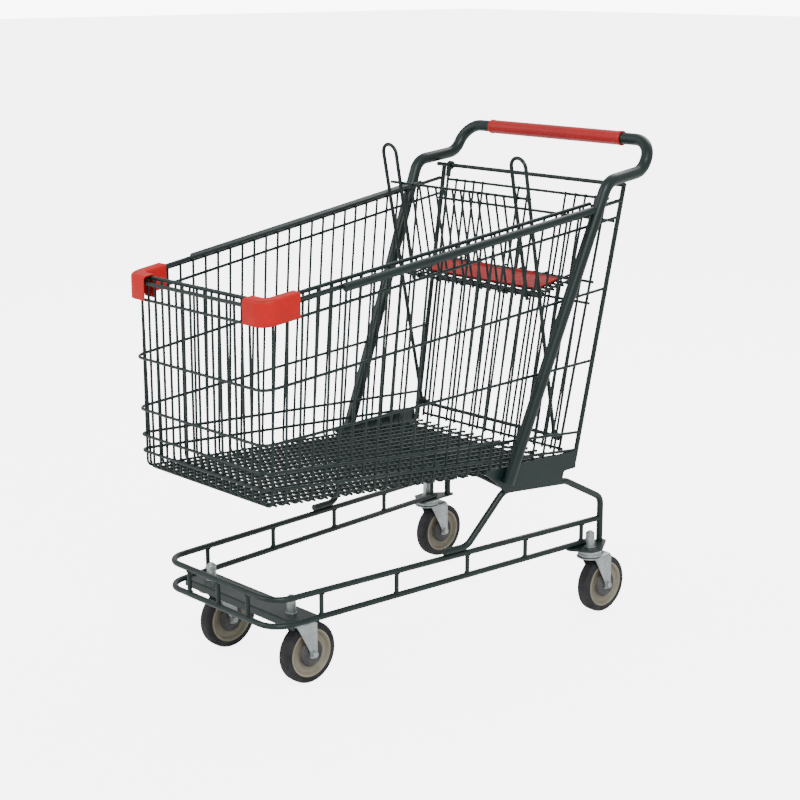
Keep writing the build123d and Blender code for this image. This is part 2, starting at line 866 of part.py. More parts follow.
ear_out = lower_rod_radius + ear_radius + free_gap
back_cross_out = ear_out - ear_radius - hoop_radius + weld
back_wire_out = back_cross_out + hoop_radius + wire_radius - weld
seat_pivot = back_point(seat_height, back_cross_out)
seat_rear = (-cos(radians(seat_slope)), sin(radians(seat_slope)))
seat_top = (sin(radians(seat_slope)), cos(radians(seat_slope)))


def seat_point(back, up, y=0.0):
    """A point of the seat, by its distance behind the seat's pivot and its height."""
    return (
        seat_pivot[0] + back * seat_rear[0] + up * seat_top[0],
        y,
        seat_pivot[2] + back * seat_rear[1] + up * seat_top[1],
    )


# Distance along a tine at which it crosses the plane of the gate's cross wires.
gap_x = seat_pivot[0] - hinge_x - cross_out * gate_out[0]
gap_z = seat_pivot[2] - hinge_z - cross_out * gate_out[1]
ahead = gap_x * gate_out[0] + gap_z * gate_out[1]
closing = -(seat_rear[0] * gate_out[0] + seat_rear[1] * gate_out[1])
tine_cross = ahead / closing
tine_at = seat_point(tine_cross, 0.0)
tine_drop = (tine_at[0] - hinge_x) * gate_down[0] + (tine_at[2] - hinge_z) * gate_down[1]
seat_rest_drop = tine_drop + (wire_radius + hoop_radius + free_gap) / closing

cross_drops = [gate_top_drop, seat_rest_drop, seat_rest_drop + 45.0, gate_length - 5.0]
gate_cross_wires = []
for drop in cross_drops:
    reach = gate_half_width * gate_spread(drop) + hoop_radius
    gate_cross_wires.append(
        bar([gate_point(drop, cross_out, reach), gate_point(drop, cross_out, -reach)], hoop_radius)
    )
gate_cross_wires.append(
    bar(
        [gate_point(stop_drop, cross_out, stop_half_width), gate_point(stop_drop, cross_out, -stop_half_width)],
        hoop_radius,
    )
)
save_group("gate_cross_wires", gate_cross_wires)

gate_upright_wires = []
middle_y = gate_wire_pitch / 2
inner_y = middle_y + leg_opening
outer_count = int((gate_half_width - inner_y) / gate_wire_pitch - 0.5)
tall_y = [middle_y] + [inner_y + number * gate_wire_pitch for number in range(outer_count + 1)]
short_y = [middle_y + leg_opening * share for share in (0.25, 0.5, 0.75)]
for head_drop, heads in ((gate_top_drop - 4.0, tall_y), (seat_rest_drop - 4.0, short_y)):
    for head_y in heads:
        for side in (-1, 1):
            gate_upright_wires.append(
                bar(
                    [
                        gate_point(head_drop, vertical_out, side * head_y * gate_spread(head_drop)),
                        gate_point(gate_length, vertical_out, side * head_y * gate_spread(gate_length)),
                    ],
                    wire_radius,
                )
            )
save_group("gate_upright_wires", gate_upright_wires)
outer_tine_y = (tall_y[-3] + tall_y[-2]) / 2 * gate_spread(seat_rest_drop)

rod_reach = gate_half_width * gate_spread(lower_rod_drop)
gate_lower_rod = bar(
    [gate_point(lower_rod_drop, lower_rod_out, rod_reach), gate_point(lower_rod_drop, lower_rod_out, -rod_reach)],
    lower_rod_radius,
)
save("gate_lower_rod", gate_lower_rod)

# ---------------------------------------------------------------- child seat
eye_radius = lower_rod_radius + 4.5
eye_width = 8.0
eye_height = 15.0


def ear_loop():
    """The left tall loop of the seat back: its outer leg ends in an eye on the gate's lower rod."""
    outer_top = ear_centre + ear_half_gap
    inner_top = ear_centre - ear_half_gap
    outer_foot = ear_centre + ear_half_gap - 8.0
    shoulder = ear_height - ear_half_gap
    plane = Plane(
        origin=(pivot[0], outer_foot - eye_width / 2, pivot[2]),
        x_dir=(back_up[0], 0, back_up[1]),
        z_dir=(0, 1, 0),
    )
    forward = 1.0 if plane.y_dir.X > 0 else -1.0
    with BuildPart() as piece:
        with BuildSketch(plane):
            Circle(eye_radius)
            with Locations((eye_height / 2, forward * (ear_out + ear_radius) / 2)):
                Rectangle(eye_height, ear_out + ear_radius)
            Circle(lower_rod_radius + running, mode=Mode.SUBTRACT)
        extrude(amount=eye_width)
        with BuildLine() as path:
            Line(back_point(eye_height - 3.0, ear_out, outer_foot), back_point(shoulder, ear_out, outer_top))
            ThreePointArc(
                back_point(shoulder, ear_out, outer_top),
                back_point(ear_height, ear_out, ear_centre),
                back_point(shoulder, ear_out, inner_top),
            )
            Line(back_point(shoulder, ear_out, inner_top), back_point(seat_height - 8.0, ear_out, inner_top))
        with BuildSketch(Plane(origin=path.line @ 0, z_dir=path.line % 0)):
            Circle(ear_radius)
        sweep(transition=Transition.RIGHT)
    return piece.part


left_loop = ear_loop()
save("ear_loop_right", mirror(left_loop, about=Plane.XZ))
save("ear_loop_left", left_loop)

back_reach = ear_centre + ear_half_gap - 8.0 + ear_radius
seat_back_cross_wires = []
for up in (seat_height, seat_back_top):
    seat_back_cross_wires.append(
        bar([back_point(up, back_cross_out, back_reach), back_point(up, back_cross_out, -back_reach)], hoop_radius)
    )
save_group("seat_back_cross_wires", seat_back_cross_wires)

seat_back_wires = []
back_count = 2 * int((outer_tine_y - tine_side_gap) / seat_back_pitch)
for number in range(back_count):
    y = (number - (back_count - 1) / 2) * seat_back_pitch
    seat_back_wires.append(
        bar(
            [back_point(seat_height - 4.0, back_wire_out, y), back_point(seat_back_top + 4.0, back_wire_out, y)],
            wire_radius,
        )
    )
save_group("seat_back_wires", seat_back_wires)

ring_radius = hoop_radius + 3.4
ring_width = 5.0


def seat_plane(back, up, y):
    """A plane across the seat's wires: its normal is +Y."""
    return Plane(origin=seat_point(back, up, y), x_dir=(seat_rear[0], 0, seat_rear[1]), z_dir=(0, 1, 0))


def tine(y):
    """A seat wire whose front end is an eye on the seat back's cross wire."""
    with BuildPart() as piece:
        with BuildSketch(seat_plane(0.0, 0.0, y - ring_width / 2)):
            Circle(ring_radius)
            Circle(hoop_radius + running, mode=Mode.SUBTRACT)
        extrude(amount=ring_width)
        with BuildLine() as path:
            Line(seat_point(ring_radius - 1.5, 0.0, y), seat_point(tine_length, 0.0, y))
        with BuildSketch(Plane(origin=path.line @ 0, z_dir=path.line % 0)):
            Circle(wire_radius)
        sweep()
    return piece.part


tines = []
for y in tine_y + [outer_tine_y]:
    tines += [tine(y), tine(-y)]
seat_rear_wire = seat_pitch * seat_wire_count - 1.0
for side in (-1, 1):
    side_ends = [seat_point(back, 0.0, side * seat_side_y) for back in (12.0, seat_rear_wire + 3.0)]
    tines.append(bar(side_ends, wire_radius))
save_group("seat_tines", tines)

seat_cross_wires = []
for number in range(seat_wire_count):
    back = seat_rear_wire - number * seat_pitch
    reach = seat_side_y + wire_radius
    seat_cross_wires.append(bar([seat_point(back, -under, reach), seat_point(back, -under, -reach)], wire_radius))
flap_wire_up = wire_radius + flap_wire_radius - weld
flap_wire_ends = [seat_point(seat_rear_wire, flap_wire_up, y) for y in (seat_side_y, -seat_side_y)]
seat_cross_wires.append(bar(flap_wire_ends, flap_wire_radius))
save_group("seat_cross_wires", seat_cross_wires)

# The flap turns about a wire laid on the tines, and lies on them in front of it.
flap_low = wire_radius + free_gap
barrel_radius = flap_wire_radius + 2.4
flap_front_edge = seat_rear_wire - flap_wire_radius - free_gap - flap_depth
with BuildPart() as seat_flap:
    for start in (-flap_barrel_y - flap_barrel_length / 2, flap_barrel_y - flap_barrel_length / 2):
        with BuildSketch(seat_plane(seat_rear_wire, flap_wire_up, start)):
            Circle(barrel_radius)
        extrude(amount=flap_barrel_length)
    deck = Plane(
        origin=seat_point(flap_front_edge + flap_depth / 2, flap_low),
        x_dir=(seat_rear[0], 0, seat_rear[1]),
        z_dir=(seat_top[0], 0, seat_top[1]),
    )
    with BuildSketch(deck):
        RectangleRounded(flap_depth, 2 * flap_half_width, 9.0)
    extrude(amount=flap_sheet)
    with BuildSketch(seat_plane(seat_rear_wire, flap_wire_up, -flap_half_width)):
        Circle(flap_wire_radius + running)
    extrude(amount=2 * flap_half_width, mode=Mode.SUBTRACT)
save("seat_flap", seat_flap.part)

print("seat rest drop", round(seat_rest_drop, 1), "tine crossing", round(tine_cross, 1))
print("pivot", [round(v, 2) for v in pivot], "seat pivot", [round(v, 2) for v in seat_pivot])
print("flap axis", [round(v, 2) for v in seat_point(seat_rear_wire, flap_wire_up)])
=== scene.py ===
"""Nesting shopping trolley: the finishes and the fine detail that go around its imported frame.

Sizes are in millimetres unless a name says otherwise, in the frame's own axes: +X front, +Y left, +Z up.
"""

import json
import logging
import math
from dataclasses import dataclass, field
from enum import Enum
from typing import Iterable, Sequence

import bmesh
import bpy
from mathutils import Matrix, Vector


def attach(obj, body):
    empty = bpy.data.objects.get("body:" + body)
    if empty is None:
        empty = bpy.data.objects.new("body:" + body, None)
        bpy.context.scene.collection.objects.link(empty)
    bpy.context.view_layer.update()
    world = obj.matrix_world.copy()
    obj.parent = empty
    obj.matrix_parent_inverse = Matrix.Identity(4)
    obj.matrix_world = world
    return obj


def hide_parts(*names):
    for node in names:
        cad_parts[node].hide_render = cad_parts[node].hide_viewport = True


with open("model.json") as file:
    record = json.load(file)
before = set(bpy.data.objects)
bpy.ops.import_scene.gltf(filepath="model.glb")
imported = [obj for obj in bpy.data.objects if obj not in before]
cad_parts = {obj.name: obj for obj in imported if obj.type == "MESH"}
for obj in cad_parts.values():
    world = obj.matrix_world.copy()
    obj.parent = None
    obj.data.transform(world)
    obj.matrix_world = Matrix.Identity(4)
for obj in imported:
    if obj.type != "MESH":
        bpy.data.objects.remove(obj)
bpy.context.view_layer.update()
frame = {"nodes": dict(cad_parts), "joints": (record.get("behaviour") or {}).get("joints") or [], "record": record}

MM = 0.001
LOG = logging.getLogger("trolley")
Point = tuple[float, float, float]
Pair = tuple[float, float]
Colour = tuple[float, float, float]

ON_AXIS = 1e-6
DOUBLES = 0.01
SHORT_EDGE_SHARE = 0.45


# ---------------------------------------------------------------- small helpers for node trees


class Socket(Enum):
    """Kinds of socket on a node group."""

    NUMBER = "NodeSocketFloat"
    COLOUR = "NodeSocketColor"
    VECTOR = "NodeSocketVector"
    MATERIAL = "NodeSocketMaterial"
    GEOMETRY = "NodeSocketGeometry"
    WHOLE = "NodeSocketInt"


class Tree:
    """A thin wrapper that adds nodes to a tree and links them by socket name or number."""

    def __init__(self, tree: bpy.types.NodeTree) -> None:
        """Keeps the tree.

        Args:
            tree: The node tree to add to.
        """
        self.tree = tree

    def add(self, kind: str, **settings: object) -> bpy.types.Node:
        """Adds a node and sets its properties.

        Args:
            kind: The node's Blender type name.
            settings: Property names and values.

        Returns:
            The new node.
        """
        node = self.tree.nodes.new(kind)
        for name, value in settings.items():
            setattr(node, name, value)
        return node

    def put(self, node: bpy.types.Node, **values: object) -> bpy.types.Node:
        """Sets or links a node's inputs by name, with an underscore for each space.

        Args:
            node: The node whose inputs are filled.
            values: Plain values, or output sockets to link from.

        Returns:
            The same node.
        """
        for name, value in values.items():
            socket = node.inputs[name.replace("_", " ")]
            if isinstance(value, bpy.types.NodeSocket):
                self.tree.links.new(value, socket)
            else:
                socket.default_value = value
        return node

    def link(self, source: bpy.types.NodeSocket, target: bpy.types.NodeSocket) -> None:
        """Links two sockets."""
        self.tree.links.new(source, target)

    def maths(self, operation: str, first: object, second: object = 0.0) -> bpy.types.NodeSocket:
        """Adds a Math node.

        Args:
            operation: The Math node's operation.
            first: A number or a socket.
            second: A number or a socket.

        Returns:
            The result's socket.
        """
        node = self.add("ShaderNodeMath", operation=operation)
        for number, value in enumerate((first, second)):
            if isinstance(value, bpy.types.NodeSocket):
                self.tree.links.new(value, node.inputs[number])
            else:
                node.inputs[number].default_value = value
        return node.outputs[0]

    def blend(self, share: object, low: object, high: object) -> bpy.types.NodeSocket:
        """Mixes two colours.

        Args:
            share: How much of the second colour, a number or a socket.
            low: The first colour or its socket.
            high: The second colour or its socket.

        Returns:
            The mixed colour's socket.
        """
        node = self.add("ShaderNodeMix", data_type="RGBA")
        for socket, value in zip((node.inputs[0], node.inputs[6], node.inputs[7]), (share, low, high)):
            if isinstance(value, bpy.types.NodeSocket):
                self.tree.links.new(value, socket)
            else:
                socket.default_value = value
        return node.outputs[2]

    def ramp(self, source: bpy.types.NodeSocket, low: float, high: float) -> bpy.types.NodeSocket:
        """Maps a value smoothly onto the range from 0 to 1.

        Args:
            source: The value's socket.
            low: The value that gives 0.
            high: The value that gives 1.

        Returns:
            The mapped value's socket.
        """
        node = self.add("ShaderNodeMapRange", interpolation_type="SMOOTHSTEP")
        self.tree.links.new(source, node.inputs["Value"])
        node.inputs["From Min"].default_value = low
        node.inputs["From Max"].default_value = high
        return node.outputs["Result"]

    def noise(self, where: bpy.types.NodeSocket, scale: object, detail: float) -> bpy.types.NodeSocket:
        """Adds a noise texture.

        Args:
            where: The socket of the coordinates.
            scale: The texture's scale, a number or a socket.
            detail: The number of finer layers.

        Returns:
            The noise value's socket.
        """
        node = self.add("ShaderNodeTexNoise")
        self.put(node, Vector=where, Scale=scale, Detail=detail)
        return node.outputs[0]


def new_group(
    name: str, kind: str, inputs: dict[str, tuple], outputs: dict[str, Socket]
) -> bpy.types.NodeTree:
    """Makes an empty node group with named sockets.

    Args:
        name: The group's name.
        kind: ShaderNodeTree or GeometryNodeTree.
        inputs: Socket kind and default value for each input.
        outputs: Socket kind for each output.

    Returns:
        The group's tree, with its input and output nodes in place.
    """
    tree = bpy.data.node_groups.new(name, kind)
    for label, (socket, default) in inputs.items():
        item = tree.interface.new_socket(label, in_out="INPUT", socket_type=socket.value)
        if default is not None:
            item.default_value = default
    for label, socket in outputs.items():
        tree.interface.new_socket(label, in_out="OUTPUT", socket_type=socket.value)
    tree.nodes.new("NodeGroupInput")
    tree.nodes.new("NodeGroupOutput")
    return tree


def ends(tree: bpy.types.NodeTree) -> tuple[bpy.types.Node, bpy.types.Node]:
    """Gives a group's input and output nodes."""
    return tree.nodes["Group Input"], tree.nodes["Group Output"]


# ---------------------------------------------------------------- effects that several finishes share


class Effects:
    """Shader node groups, each built once."""

    def __init__(self) -> None:
        """Builds every effect."""
        self.drift = self.build_drift()
        self.peel = self.build_peel()
        self.scuffs = self.build_scuffs()
        self.dust = self.build_dust()

    @staticmethod
    def build_drift() -> bpy.types.NodeTree:
        """Builds a slow change of colour and gloss over a surface.

        Returns:
            The group, with Colour and Value outputs.
        """
        group = new_group(
            "colour drift",
            "ShaderNodeTree",
            {
                "Main": (Socket.COLOUR, (0.5, 0.5, 0.5, 1.0)),
                "Other": (Socket.COLOUR, (0.4, 0.4, 0.4, 1.0)),
                "Scale": (Socket.NUMBER, 12.0),
            },
            {"Colour": Socket.COLOUR, "Value": Socket.NUMBER},
        )
        tree = Tree(group)
        start, end = ends(group)
        place = tree.add("ShaderNodeTexCoord").outputs["Object"]
        broad = tree.noise(place, start.outputs["Scale"], 4.0)
        share = tree.ramp(broad, 0.32, 0.68)
        colour = tree.blend(share, start.outputs["Main"], start.outputs["Other"])
        tree.link(colour, end.inputs["Colour"])
        tree.link(share, end.inputs["Value"])
        return group

    @staticmethod
    def build_peel() -> bpy.types.NodeTree:
        """Builds the fine waviness of a sprayed or moulded skin.

        Returns:
            The group, with a Height output.
        """
        group = new_group(
            "skin texture",
            "ShaderNodeTree",
            {"Size": (Socket.NUMBER, 900.0), "Grit": (Socket.NUMBER, 0.3)},
            {"Height": Socket.NUMBER},
        )
        tree = Tree(group)
        start, end = ends(group)
        place = tree.add("ShaderNodeTexCoord").outputs["Object"]
        waves = tree.noise(place, start.outputs["Size"], 2.0)
        finer = tree.maths("MULTIPLY", start.outputs["Size"], 4.0)
        grit = tree.noise(place, finer, 1.0)
        height = tree.maths("ADD", waves, tree.maths("MULTIPLY", grit, start.outputs["Grit"]))
        tree.link(height, end.inputs["Height"])
        return group

    @staticmethod
    def build_scuffs() -> bpy.types.NodeTree:
        """Builds small scattered scratches and rubbed spots.

        Returns:
            The group, with a Mask output.
        """
        group = new_group(
            "scuffs",
            "ShaderNodeTree",
            {"Scale": (Socket.NUMBER, 60.0), "Amount": (Socket.NUMBER, 0.2)},
            {"Mask": Socket.NUMBER},
        )
        tree = Tree(group)
        start, end = ends(group)
        place = tree.add("ShaderNodeTexCoord").outputs["Object"]
        stretch = tree.add("ShaderNodeMapping")
        tree.put(stretch, Vector=place, Rotation=(0.4, 0.9, 0.3), Scale=(1.0, 7.0, 2.0))
        lines = tree.noise(stretch.outputs[0], start.outputs["Scale"], 5.0)
        patches = tree.noise(place, 9.0, 2.0)
        both = tree.maths("MULTIPLY", tree.ramp(lines, 0.60, 0.72), tree.ramp(patches, 0.45, 0.62))
        mask = tree.maths("MULTIPLY", both, start.outputs["Amount"])
        tree.link(mask, end.inputs["Mask"])
        return group

    @staticmethod
    def build_dust() -> bpy.types.NodeTree:
        """Builds a film of floor dust, which thins out with height.

        Returns:
            The group, with a Mask output.
        """
        group = new_group(
            "floor dust",
            "ShaderNodeTree",
            {"Top": (Socket.NUMBER, 0.3), "Amount": (Socket.NUMBER, 0.3)},
            {"Mask": Socket.NUMBER},
        )
        tree = Tree(group)
        start, end = ends(group)
        place = tree.add("ShaderNodeTexCoord").outputs["Object"]
        split = tree.add("ShaderNodeSeparateXYZ")
        tree.link(place, split.inputs[0])
        share = tree.maths("SUBTRACT", 1.0, tree.maths("DIVIDE", split.outputs["Z"], start.outputs["Top"]))
        low = tree.maths("MAXIMUM", share, 0.0)
        patches = tree.ramp(tree.noise(place, 45.0, 5.0), 0.35, 0.75)
        mask = tree.maths("MULTIPLY", tree.maths("MULTIPLY", low, patches), start.outputs["Amount"])
        tree.link(mask, end.inputs["Mask"])
        return group


@dataclass(frozen=True)
class Finish:
    """One finish: a shader with its own values for the shared effects."""

    name: str
    main: Colour
    other: Colour
    roughness: float
    gloss_drift: float = 0.06
    metallic: float = 0.0
    drift_scale: float = 14.0
    skin_size: float = 900.0
    skin_grit: float = 0.3
    skin_depth: float = 0.00004
    scuff_scale: float = 60.0
    scuff_amount: float = 0.15
    scuff_colour: Colour = (0.12, 0.13, 0.13)
    dust_top: float = 0.35
    dust_amount: float = 0.15
    dust_colour: Colour = (0.26, 0.25, 0.23)
    coat: float = 0.0
    coat_roughness: float = 0.08
    specular: float = 0.5
    spangle: float = 0.0

    def build(self, effects: Effects) -> bpy.types.Material:
        """Builds the material.

        Args:
            effects: The shared effects.

        Returns:
            The finished material.
        """
        material = bpy.data.materials.new(self.name)
        material.use_nodes = True
        tree = Tree(material.node_tree)
        material.node_tree.nodes.clear()
        end = tree.add("ShaderNodeOutputMaterial")
        shader = tree.add("ShaderNodeBsdfPrincipled")
        tree.link(shader.outputs[0], end.inputs["Surface"])

        drift = tree.add("ShaderNodeGroup", node_tree=effects.drift)
        tree.put(drift, Main=(*self.main, 1.0), Other=(*self.other, 1.0), Scale=self.drift_scale)
        scuffs = tree.add("ShaderNodeGroup", node_tree=effects.scuffs)
        tree.put(scuffs, Scale=self.scuff_scale, Amount=self.scuff_amount)
        dust = tree.add("ShaderNodeGroup", node_tree=effects.dust)
        tree.put(dust, Top=self.dust_top, Amount=self.dust_amount)
        skin = tree.add("ShaderNodeGroup", node_tree=effects.peel)
        tree.put(skin, Size=self.skin_size, Grit=self.skin_grit)

        colour = drift.outputs["Colour"]
        gloss = tree.maths("MULTIPLY", drift.outputs["Value"], self.gloss_drift)
        if self.spangle:
            colour, gloss = self.add_spangle(tree, colour, gloss)
        colour = tree.blend(scuffs.outputs["Mask"], colour, (*self.scuff_colour, 1.0))
        colour = tree.blend(dust.outputs["Mask"], colour, (*self.dust_colour, 1.0))
        worn = tree.maths("MULTIPLY", scuffs.outputs["Mask"], 0.4)
        dusty = tree.maths("MULTIPLY", dust.outputs["Mask"], 0.5)
        rough = tree.maths("ADD", tree.maths("ADD", gloss, self.roughness), tree.maths("ADD", worn, dusty))
        bump = tree.add("ShaderNodeBump")
        tree.put(bump, Height=skin.outputs["Height"], Strength=1.0, Distance=self.skin_depth)
        tree.put(shader, Base_Color=colour, Roughness=rough, Normal=bump.outputs[0])
        shader.inputs["Metallic"].default_value = self.metallic
        shader.inputs["Coat Weight"].default_value = self.coat
        shader.inputs["Coat Roughness"].default_value = self.coat_roughness
        shader.inputs["Specular IOR Level"].default_value = self.specular
        return material

    def add_spangle(
        self, tree: Tree, colour: bpy.types.NodeSocket, gloss: bpy.types.NodeSocket
    ) -> tuple[bpy.types.NodeSocket, bpy.types.NodeSocket]:
        """Adds the small crystals of a zinc layer to the colour and the gloss.

        Args:
            tree: The material's tree.
            colour: The colour so far.
            gloss: The change of roughness so far.

        Returns:
            The new colour and the new change of roughness.
        """
        place = tree.add("ShaderNodeTexCoord").outputs["Object"]
        cells = tree.add("ShaderNodeTexVoronoi")
        tree.put(cells, Vector=place, Scale=260.0)
        grey = tree.add("ShaderNodeSeparateColor")
        tree.link(cells.outputs["Color"], grey.inputs[0])
        share = tree.maths("MULTIPLY", grey.outputs[0], self.spangle)
        darker = tuple(value * 0.62 for value in self.main)
        tinted = tree.blend(share, colour, (*darker, 1.0))
        return tinted, tree.maths("ADD", gloss, tree.maths("MULTIPLY", share, 0.25))


class Palette:
    """Every finish on the trolley."""

    def __init__(self, effects: Effects) -> None:
        """Builds the materials.

        Args:
            effects: The shared effects.
        """
        finishes = (
            Finish(
                "green powder coat", (0.0035, 0.0130, 0.0115), (0.0050, 0.0170, 0.0155), 0.34,
                skin_size=700.0, skin_depth=0.00006, coat=0.12, coat_roughness=0.25, dust_amount=0.04,
                scuff_amount=0.14, scuff_colour=(0.04, 0.055, 0.052), specular=0.32,
            ),
            Finish(
                "green weld under coat", (0.0030, 0.0115, 0.0105), (0.0048, 0.0160, 0.0145), 0.40,
                skin_size=420.0, skin_grit=0.9, skin_depth=0.00025, coat=0.1, coat_roughness=0.28,
                dust_amount=0.04, specular=0.32,
            ),
            Finish(
                "bumper red", (0.52, 0.0030, 0.0024), (0.46, 0.0026, 0.0021), 0.45,
                skin_size=1500.0, skin_grit=0.6, skin_depth=0.00005, scuff_scale=40.0, scuff_amount=0.25,
                scuff_colour=(0.60, 0.05, 0.04), dust_amount=0.0, specular=0.26,
            ),
            Finish(
                "sleeve red", (0.40, 0.0040, 0.0050), (0.35, 0.0032, 0.0042), 0.30,
                skin_size=500.0, skin_grit=0.2, skin_depth=0.00004, scuff_amount=0.2,
                scuff_colour=(0.50, 0.04, 0.04), dust_amount=0.0, coat=0.15, coat_roughness=0.15,
                specular=0.35,
            ),
            Finish(
                "flap red", (0.40, 0.0060, 0.0060), (0.35, 0.0050, 0.0050), 0.42,
                skin_size=1300.0, skin_grit=0.5, skin_depth=0.00005, scuff_amount=0.2,
                scuff_colour=(0.52, 0.07, 0.06), dust_amount=0.0, specular=0.32,
            ),
            Finish(
                "tyre rubber", (0.010, 0.010, 0.013), (0.017, 0.017, 0.020), 0.60,
                skin_size=1100.0, skin_grit=0.8, skin_depth=0.00008, scuff_scale=90.0, scuff_amount=0.35,
                scuff_colour=(0.06, 0.06, 0.063), dust_top=0.16, dust_amount=0.12, specular=0.30,
            ),
            Finish(
                "wheel centre nylon", (0.27, 0.245, 0.18), (0.22, 0.20, 0.15), 0.46,
                skin_size=900.0, skin_depth=0.00006, scuff_amount=0.3, scuff_colour=(0.12, 0.11, 0.09),
                dust_top=0.16, dust_amount=0.35, dust_colour=(0.12, 0.11, 0.10),
            ),
            Finish(
                "dark moulded plastic", (0.022, 0.023, 0.026), (0.034, 0.034, 0.036), 0.5,
                skin_size=1200.0, skin_grit=0.6, skin_depth=0.00006, dust_top=0.2, dust_amount=0.3,
            ),
            Finish(
                "zinc plate", (0.52, 0.57, 0.57), (0.42, 0.46, 0.46), 0.30, gloss_drift=0.14, metallic=1.0,
                skin_size=800.0, skin_depth=0.00003, scuff_scale=120.0, scuff_amount=0.3,
                scuff_colour=(0.25, 0.26, 0.26), dust_top=0.25, dust_amount=0.25, spangle=0.55,
            ),
            Finish(
                "bright steel", (0.60, 0.60, 0.59), (0.52, 0.52, 0.51), 0.22, metallic=1.0,
                skin_size=1400.0, skin_depth=0.00002, dust_top=0.2, dust_amount=0.15,
            ),
        )
        self.materials = {finish.name: finish.build(effects) for finish in finishes}

    def __getitem__(self, name: str) -> bpy.types.Material:
        """Gives a material by its finish's name."""
        return self.materials[name]


# ---------------------------------------------------------------- meshes and pieces


def joint_place(name: str) -> Point:
    """Gives the place of one of the frame's joints, in millimetres."""
    places = {joint["name"]: joint["pos_m"] for joint in frame["joints"]}
    return tuple(value / MM for value in places[name])


def finish_piece(
    name: str,
    mesh: bpy.types.Mesh,
    material: bpy.types.Material,
    body: str,
    replaced: Sequence[str] = (),
    crease: float = 34.0,
) -> bpy.types.Object:
    """Makes an object of a mesh, dresses it and ties it to the frame.

    Args:
        name: The piece's name.
        mesh: Its mesh, already in place.
        material: Its finish.
        body: The body that it moves with.
        replaced: Frame nodes that it stands for.
        crease: Angle in degrees above which an edge stays sharp.

    Returns:
        The piece.
    """
    mesh.name = name
    mesh.materials.clear()
    mesh.materials.append(material)
    for polygon in mesh.polygons:
        polygon.use_smooth = True
    mesh.set_sharp_from_angle(angle=math.radians(crease))
    piece = bpy.data.objects.new(name, mesh)
    bpy.context.scene.collection.objects.link(piece)
    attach(piece, body)
    if replaced:
        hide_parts(*replaced)
    LOG.info("%s: %d faces on %s", name, len(mesh.polygons), body)
    return piece


def to_mesh(shape: bmesh.types.BMesh, recalculate: bool = True) -> bpy.types.Mesh:
    """Turns a bmesh in millimetres into a mesh in metres.

    Args:
        shape: The bmesh, which is freed.
        recalculate: Whether to merge doubles and turn the faces outwards.

    Returns:
        The mesh.
    """
    if recalculate:
        bmesh.ops.remove_doubles(shape, verts=shape.verts, dist=DOUBLES)
        bmesh.ops.recalc_face_normals(shape, faces=shape.faces)
    shape.transform(Matrix.Scale(MM, 4))
    mesh = bpy.data.meshes.new("piece")
    shape.to_mesh(mesh)
    shape.free()
    return mesh


def rounded(points: Sequence[Pair], radius: float, steps: int = 5, closed: bool = True) -> list[Pair]:
    """Rounds the corners of a flat outline.

    Args:
        points: The outline's corners.
        radius: The largest corner radius, made smaller where an edge is short.
        steps: Points on each corner.
        closed: Whether the last point joins the first.

    Returns:
        The rounded outline.
    """
    count = len(points)
    result: list[Pair] = []
    for number, corner in enumerate(points):
        if not closed and number in (0, count - 1):
            result.append(corner)
            continue
        here = Vector(corner)
        before = Vector(points[number - 1]) - here
        after = Vector(points[(number + 1) % count]) - here
        turn = before.angle(after)
        shorter = min(before.length, after.length)
        reach = min(radius / math.tan(turn / 2), SHORT_EDGE_SHARE * shorter)
        first = here + before.normalized() * reach
        last = here + after.normalized() * reach
        for step in range(steps + 1):
            share = step / steps
            point = first * (1 - share) ** 2 + here * 2 * share * (1 - share) + last * share**2
            result.append((point.x, point.y))
    return result


def lathe(
    shape: bmesh.types.BMesh, profile: Sequence[Pair], centre: Point, axis: Point = (0, 1, 0), steps: int = 72
) -> None:
    """Turns a closed profile about an axis.

    Args:
        shape: The bmesh that gets the faces.
        profile: Points of (offset along the axis, radius), as a closed loop.
        centre: A point on the axis.
        axis: The axis's direction.
        steps: Steps round the axis.
    """
    along = Vector(axis).normalized()
    side = along.orthogonal().normalized()
    other = along.cross(side)
    rings = []
    for step in range(steps):
        angle = 2 * math.pi * step / steps
        outwards = side * math.cos(angle) + other * math.sin(angle)
        ring = [Vector(centre) + along * offset + outwards * radius for offset, radius in profile]
        rings.append([shape.verts.new(point) for point in ring])
    count = len(profile)
    for step in range(steps):
        ring, following = rings[step], rings[(step + 1) % steps]
        for number in range(count):
            beyond = (number + 1) % count
            if max(profile[number][1], profile[beyond][1]) < ON_AXIS:
                continue
            shape.faces.new((ring[number], ring[beyond], following[beyond], following[number]))


def prism(shape: bmesh.types.BMesh, outline: Sequence[Point], thickness: Vector) -> None:
    """Adds a closed slab.

    Args:
        shape: The bmesh that gets the faces.
        outline: The slab's lower outline.
        thickness: From the lower outline to the upper one.
    """
    low = [shape.verts.new(point) for point in outline]
    high = [shape.verts.new(Vector(point) + thickness) for point in outline]
    shape.faces.new(low)
    shape.faces.new(high[::-1])
    for number in range(len(low)):
        beyond = (number + 1) % len(low)
        shape.faces.new((low[number], high[number], high[beyond], low[beyond]))


